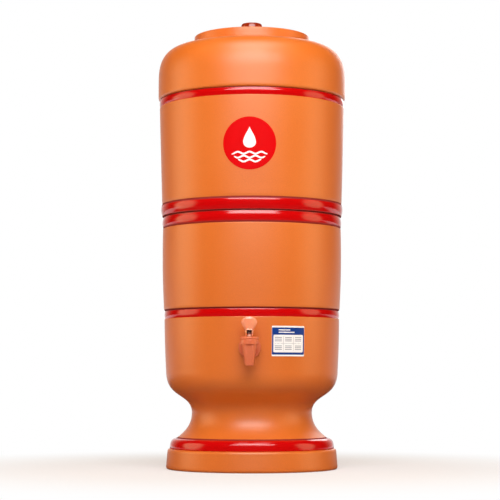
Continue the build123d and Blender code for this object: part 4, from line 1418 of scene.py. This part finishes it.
class CLAYFILTER_OT_candle(bpy.types.Operator):
    """Gives the candle's solids their ceramic, plastic, rubber and carbon"""

    bl_idname = "clayfilter.candle"
    bl_label = "Candle"

    def execute(self, context):
        settings = context.scene.clay_filter.fittings
        # Diatomite ceramic, pressed and fired: chalky, with open pores.
        ceramic = moulded_material(
            "Diatomite ceramic, fired", settings.candle, 0.85, 1.5, 0.9, shift=0.03
        )
        # ABS, injection moulded: even and satin.
        white = moulded_material(
            "ABS, moulded white", settings.white_plastic, 0.38, 1.54, 0.4, shift=0.02
        )
        # Activated carbon: black broken granules about 1.2 mm wide.
        granules = moulded_material(
            "Activated carbon granules", settings.carbon, 0.7, 1.6, 1.2
        )
        dress(("candle_shell",), ceramic)
        dress(("candle_base", "candle_wing_nut", "float_cage"), white)
        dress(("candle_upper_washer", "candle_lower_washer"), bpy.data.materials[NITRILE])
        dress(("candle_carbon",), granules)
        return {"FINISHED"}


class CLAYFILTER_OT_float_valve(bpy.types.Operator):
    """Gives the float its plastic and its sealing pad"""

    bl_idname = "clayfilter.float_valve"
    bl_label = "Float valve"

    def execute(self, context):
        settings = context.scene.clay_filter.fittings
        # Polypropylene, injection moulded: waxy gloss, a little translucent.
        blue = moulded_material(
            "Polypropylene, moulded blue",
            settings.float_plastic,
            0.3,
            1.49,
            0.5,
            subsurface=0.1,
        )
        dress(("float_shell", "float_cap"), blue)
        dress(("float_pad",), bpy.data.materials[NITRILE])
        return {"FINISHED"}


# ------------------------------------------------------------------ studio
WHITE = (1, 1, 1)
FLOOR_REACH = 9000  # millimetres to each side
SOFT_LAMPS = ("lamp_left", "lamp_right")
SOFT_PEAK = 1.74  # keeps the power of a lamp that fades from half its radius out
# These only light, and don't mirror in the enamel.
UNMIRRORED_LAMPS = ("lamp_wide", "lamp_front", "lamp_low_left", "lamp_low_right")


def soften(lamp):
    """Fades an elliptic lamp from half its radius to its rim by a smoothstep, as a softbox does.
    The middle is as much brighter as keeps the lamp's power."""
    lamp.use_nodes = True
    tree = lamp.node_tree
    tree.nodes.clear()
    position = add(tree, "ShaderNodeNewGeometry").outputs["Parametric"]
    out = add(
        tree, "ShaderNodeVectorMath", {0: position, 1: (0.5, 0.5, 0)}, operation="DISTANCE"
    )
    fade = add(
        tree,
        "ShaderNodeMapRange",
        {
            "Value": out.outputs["Value"],
            "From Min": 0.25,
            "From Max": 0.5,
            "To Min": SOFT_PEAK,
            "To Max": 0.0,
        },
        interpolation_type="SMOOTHSTEP",
    )
    light = add(tree, "ShaderNodeEmission", {"Strength": fade.outputs["Result"]})
    add(tree, "ShaderNodeOutputLight", {"Surface": light.outputs[0]})


def studio_floor(settings):
    """The floor: paper, matte white. Near the filter the camera and reflections see it a little
    brighter than it is lit, and its shadow stays. Further off they see it as white as the
    backdrop. In front of the filter, gloss shows it much darker than it lights, like the room."""
    corners = np.array([(-1, -1, 0), (1, -1, 0), (1, 1, 0), (-1, 1, 0)], float) * FLOOR_REACH
    floor = mesh_object("studio_floor", corners, [np.array([[0, 1, 2, 3]])])
    paper, tree, position = material("Backdrop paper, matte")
    away = add(tree, "ShaderNodeVectorMath", {0: position}, operation="LENGTH")
    far = add(
        tree,
        "ShaderNodeMapRange",
        {"Value": away.outputs["Value"], "From Min": 0.2, "From Max": 0.6},
        interpolation_type="SMOOTHSTEP",
    )
    path = add(tree, "ShaderNodeLightPath")
    dim = tuple(settings.gloss_share * part for part in settings.floor)
    seen_floor = add(
        tree,
        "ShaderNodeMix",
        {"Factor": path.outputs["Is Glossy Ray"], "A": (*settings.floor, 1), "B": (*dim, 1)},
        data_type="RGBA",
    )
    diffuse = add(tree, "ShaderNodeBsdfDiffuse", {"Color": seen_floor.outputs["Result"]})
    glow = add(
        tree, "ShaderNodeEmission", {"Color": (*WHITE, 1), "Strength": settings.floor_lift}
    )
    near = add(tree, "ShaderNodeAddShader", {0: diffuse.outputs[0], 1: glow.outputs[0]})
    white = add(tree, "ShaderNodeEmission", {"Color": (*WHITE, 1), "Strength": 1.0})
    faded = add(
        tree,
        "ShaderNodeMixShader",
        {0: far.outputs["Result"], 1: near.outputs[0], 2: white.outputs[0]},
    )
    both = add(
        tree,
        "ShaderNodeMixShader",
        {0: seen_ray(tree, position), 1: diffuse.outputs[0], 2: faded.outputs[0]},
    )
    add(tree, "ShaderNodeOutputMaterial", {"Surface": both.outputs[0]})
    floor.data.materials.append(paper)


def studio_world(settings):
    """Even warm light from all round. Gloss shows the dim room much darker than it lights."""
    world = bpy.data.worlds.new("Studio")
    world.use_nodes = True
    tree = world.node_tree
    tree.nodes.clear()
    direction = add(tree, "ShaderNodeTexCoord").outputs["Generated"]
    path = add(tree, "ShaderNodeLightPath")
    room = add(
        tree,
        "ShaderNodeMapRange",
        {
            "Value": path.outputs["Is Glossy Ray"],
            "To Min": settings.fill,
            "To Max": settings.fill * settings.gloss_share,
        },
    )
    strength = add(
        tree,
        "ShaderNodeMapRange",
        {"Value": seen_ray(tree, direction), "To Min": room.outputs["Result"], "To Max": 1.0},
    )
    tint = add(
        tree,
        "ShaderNodeMix",
        {
            "Factor": seen_ray(tree, direction),
            "A": (*settings.fill_colour, 1),
            "B": (*WHITE, 1),
        },
        data_type="RGBA",
    )
    light = add(
        tree,
        "ShaderNodeBackground",
        {"Color": tint.outputs["Result"], "Strength": strength.outputs["Result"]},
    )
    add(tree, "ShaderNodeOutputWorld", {"Surface": light.outputs[0]})
    return world


def studio_lamps(scene, settings):
    """Elliptic area lamps, each aimed at the filter's middle."""
    target = Vector((0, 0, 0.33))
    warm = settings.side_colour
    for name, spot, width, height, watts, tint in (
        ("lamp_key", (0.04, -0.35, 1.2), 0.75, 0.35, settings.key_power, WHITE),
        ("lamp_near", (0.06, -1.1, 0.97), 1.5, 0.32, settings.near_power, WHITE),
        ("lamp_high", (0.08, -1.6, 2.4), 2.0, 1.2, settings.high_power, WHITE),
        ("lamp_wide", (0.1, -2.8, 1.35), 2.6, 0.9, settings.wide_power, WHITE),
        ("lamp_front", (0.0, -2.6, 0.9), 3.0, 2.0, settings.front_power, WHITE),
        ("lamp_left", (-1.6, 0.0, 0.5), 1.4, 1.6, settings.left_power, warm),
        ("lamp_right", (1.5, -0.2, 0.5), 1.1, 1.6, settings.right_power, warm),
        ("lamp_back", (0.3, 1.9, 1.1), 1.4, 1.0, settings.back_power, WHITE),
        ("lamp_low_left", (-1.1, -0.15, 0.11), 0.9, 0.2, settings.low_power, warm),
        ("lamp_low_right", (1.1, -0.15, 0.11), 0.9, 0.2, settings.low_power, warm),
    ):
        lamp = bpy.data.lights.new(name, "AREA")
        lamp.shape, lamp.size, lamp.size_y = "ELLIPSE", width, height
        lamp.energy, lamp.color = watts, tint
        if name in SOFT_LAMPS:
            soften(lamp)
        holder = bpy.data.objects.new(name, lamp)
        holder.location = spot
        holder.rotation_euler = (target - Vector(spot)).to_track_quat("-Z", "Y").to_euler()
        holder.visible_glossy = name not in UNMIRRORED_LAMPS
        scene.collection.objects.link(holder)


def studio_camera(scene, settings):
    """The camera, turned round the filter's axis and then panned and tilted."""
    camera = bpy.data.cameras.new("camera")
    camera.sensor_width, camera.lens = 36, settings.lens
    camera.clip_start, camera.clip_end = 0.05, 60
    holder = bpy.data.objects.new("camera", camera)
    turn = Matrix.Rotation(settings.azimuth, 3, "Z")
    holder.location = turn @ Vector((0, -settings.distance, settings.eye_height))
    holder.rotation_euler = Euler((pi / 2 + settings.tilt, 0, settings.azimuth + settings.pan))
    scene.collection.objects.link(holder)
    scene.camera = holder


class CLAYFILTER_OT_stage(bpy.types.Operator):
    """Sets up the floor, the soft lamps, the world and the camera"""

    bl_idname = "clayfilter.stage"
    bl_label = "Stage"

    def execute(self, context):
        scene = context.scene
        settings = scene.clay_filter.studio
        scene.view_settings.view_transform = "Standard"
        studio_floor(settings)
        scene.world = studio_world(settings)
        studio_lamps(scene, settings)
        studio_camera(scene, settings)
        return {"FINISHED"}


class CLAYFILTER_PT_panel(bpy.types.Panel):
    """Lists the filter's pieces and its settings."""

    bl_idname = "CLAYFILTER_PT_panel"
    bl_label = "Clay water filter"
    bl_space_type = "VIEW_3D"
    bl_region_type = "UI"
    bl_category = "Clay filter"

    def draw(self, context):
        settings = context.scene.clay_filter
        for operator in OPERATORS:
            self.layout.operator(operator.bl_idname)
        for name in ("clay", "stickers", "fittings", "studio"):
            group = getattr(settings, name)
            box = self.layout.box()
            box.label(text=name.capitalize())
            for key in group.__annotations__:
                box.prop(group, key)


SETTINGS = (ClaySettings, StickerSettings, FittingSettings, StudioSettings, FilterSettings)
OPERATORS = (
    CLAYFILTER_OT_lower_chamber,
    CLAYFILTER_OT_upper_chamber,
    CLAYFILTER_OT_lid,
    CLAYFILTER_OT_badge,
    CLAYFILTER_OT_info_label,
    CLAYFILTER_OT_tap,
    CLAYFILTER_OT_candle,
    CLAYFILTER_OT_float_valve,
    CLAYFILTER_OT_stage,
)
CLASSES = (*SETTINGS, *OPERATORS, CLAYFILTER_PT_panel)


def register():
    """Adds the settings, operators and panel."""
    for made in CLASSES:
        bpy.utils.register_class(made)
    bpy.types.Scene.clay_filter = PointerProperty(type=FilterSettings)


def unregister():
    """Takes them out again."""
    del bpy.types.Scene.clay_filter
    for made in reversed(CLASSES):
        bpy.utils.unregister_class(made)


def main():
    """Makes everything in order."""
    register()
    bpy.ops.clayfilter.lower_chamber()
    bpy.ops.clayfilter.upper_chamber()
    bpy.ops.clayfilter.lid()
    bpy.ops.clayfilter.badge()
    bpy.ops.clayfilter.info_label()
    bpy.ops.clayfilter.tap()
    bpy.ops.clayfilter.candle()
    bpy.ops.clayfilter.float_valve()
    bpy.ops.clayfilter.stage()


if __name__ == "__main__":
    main()
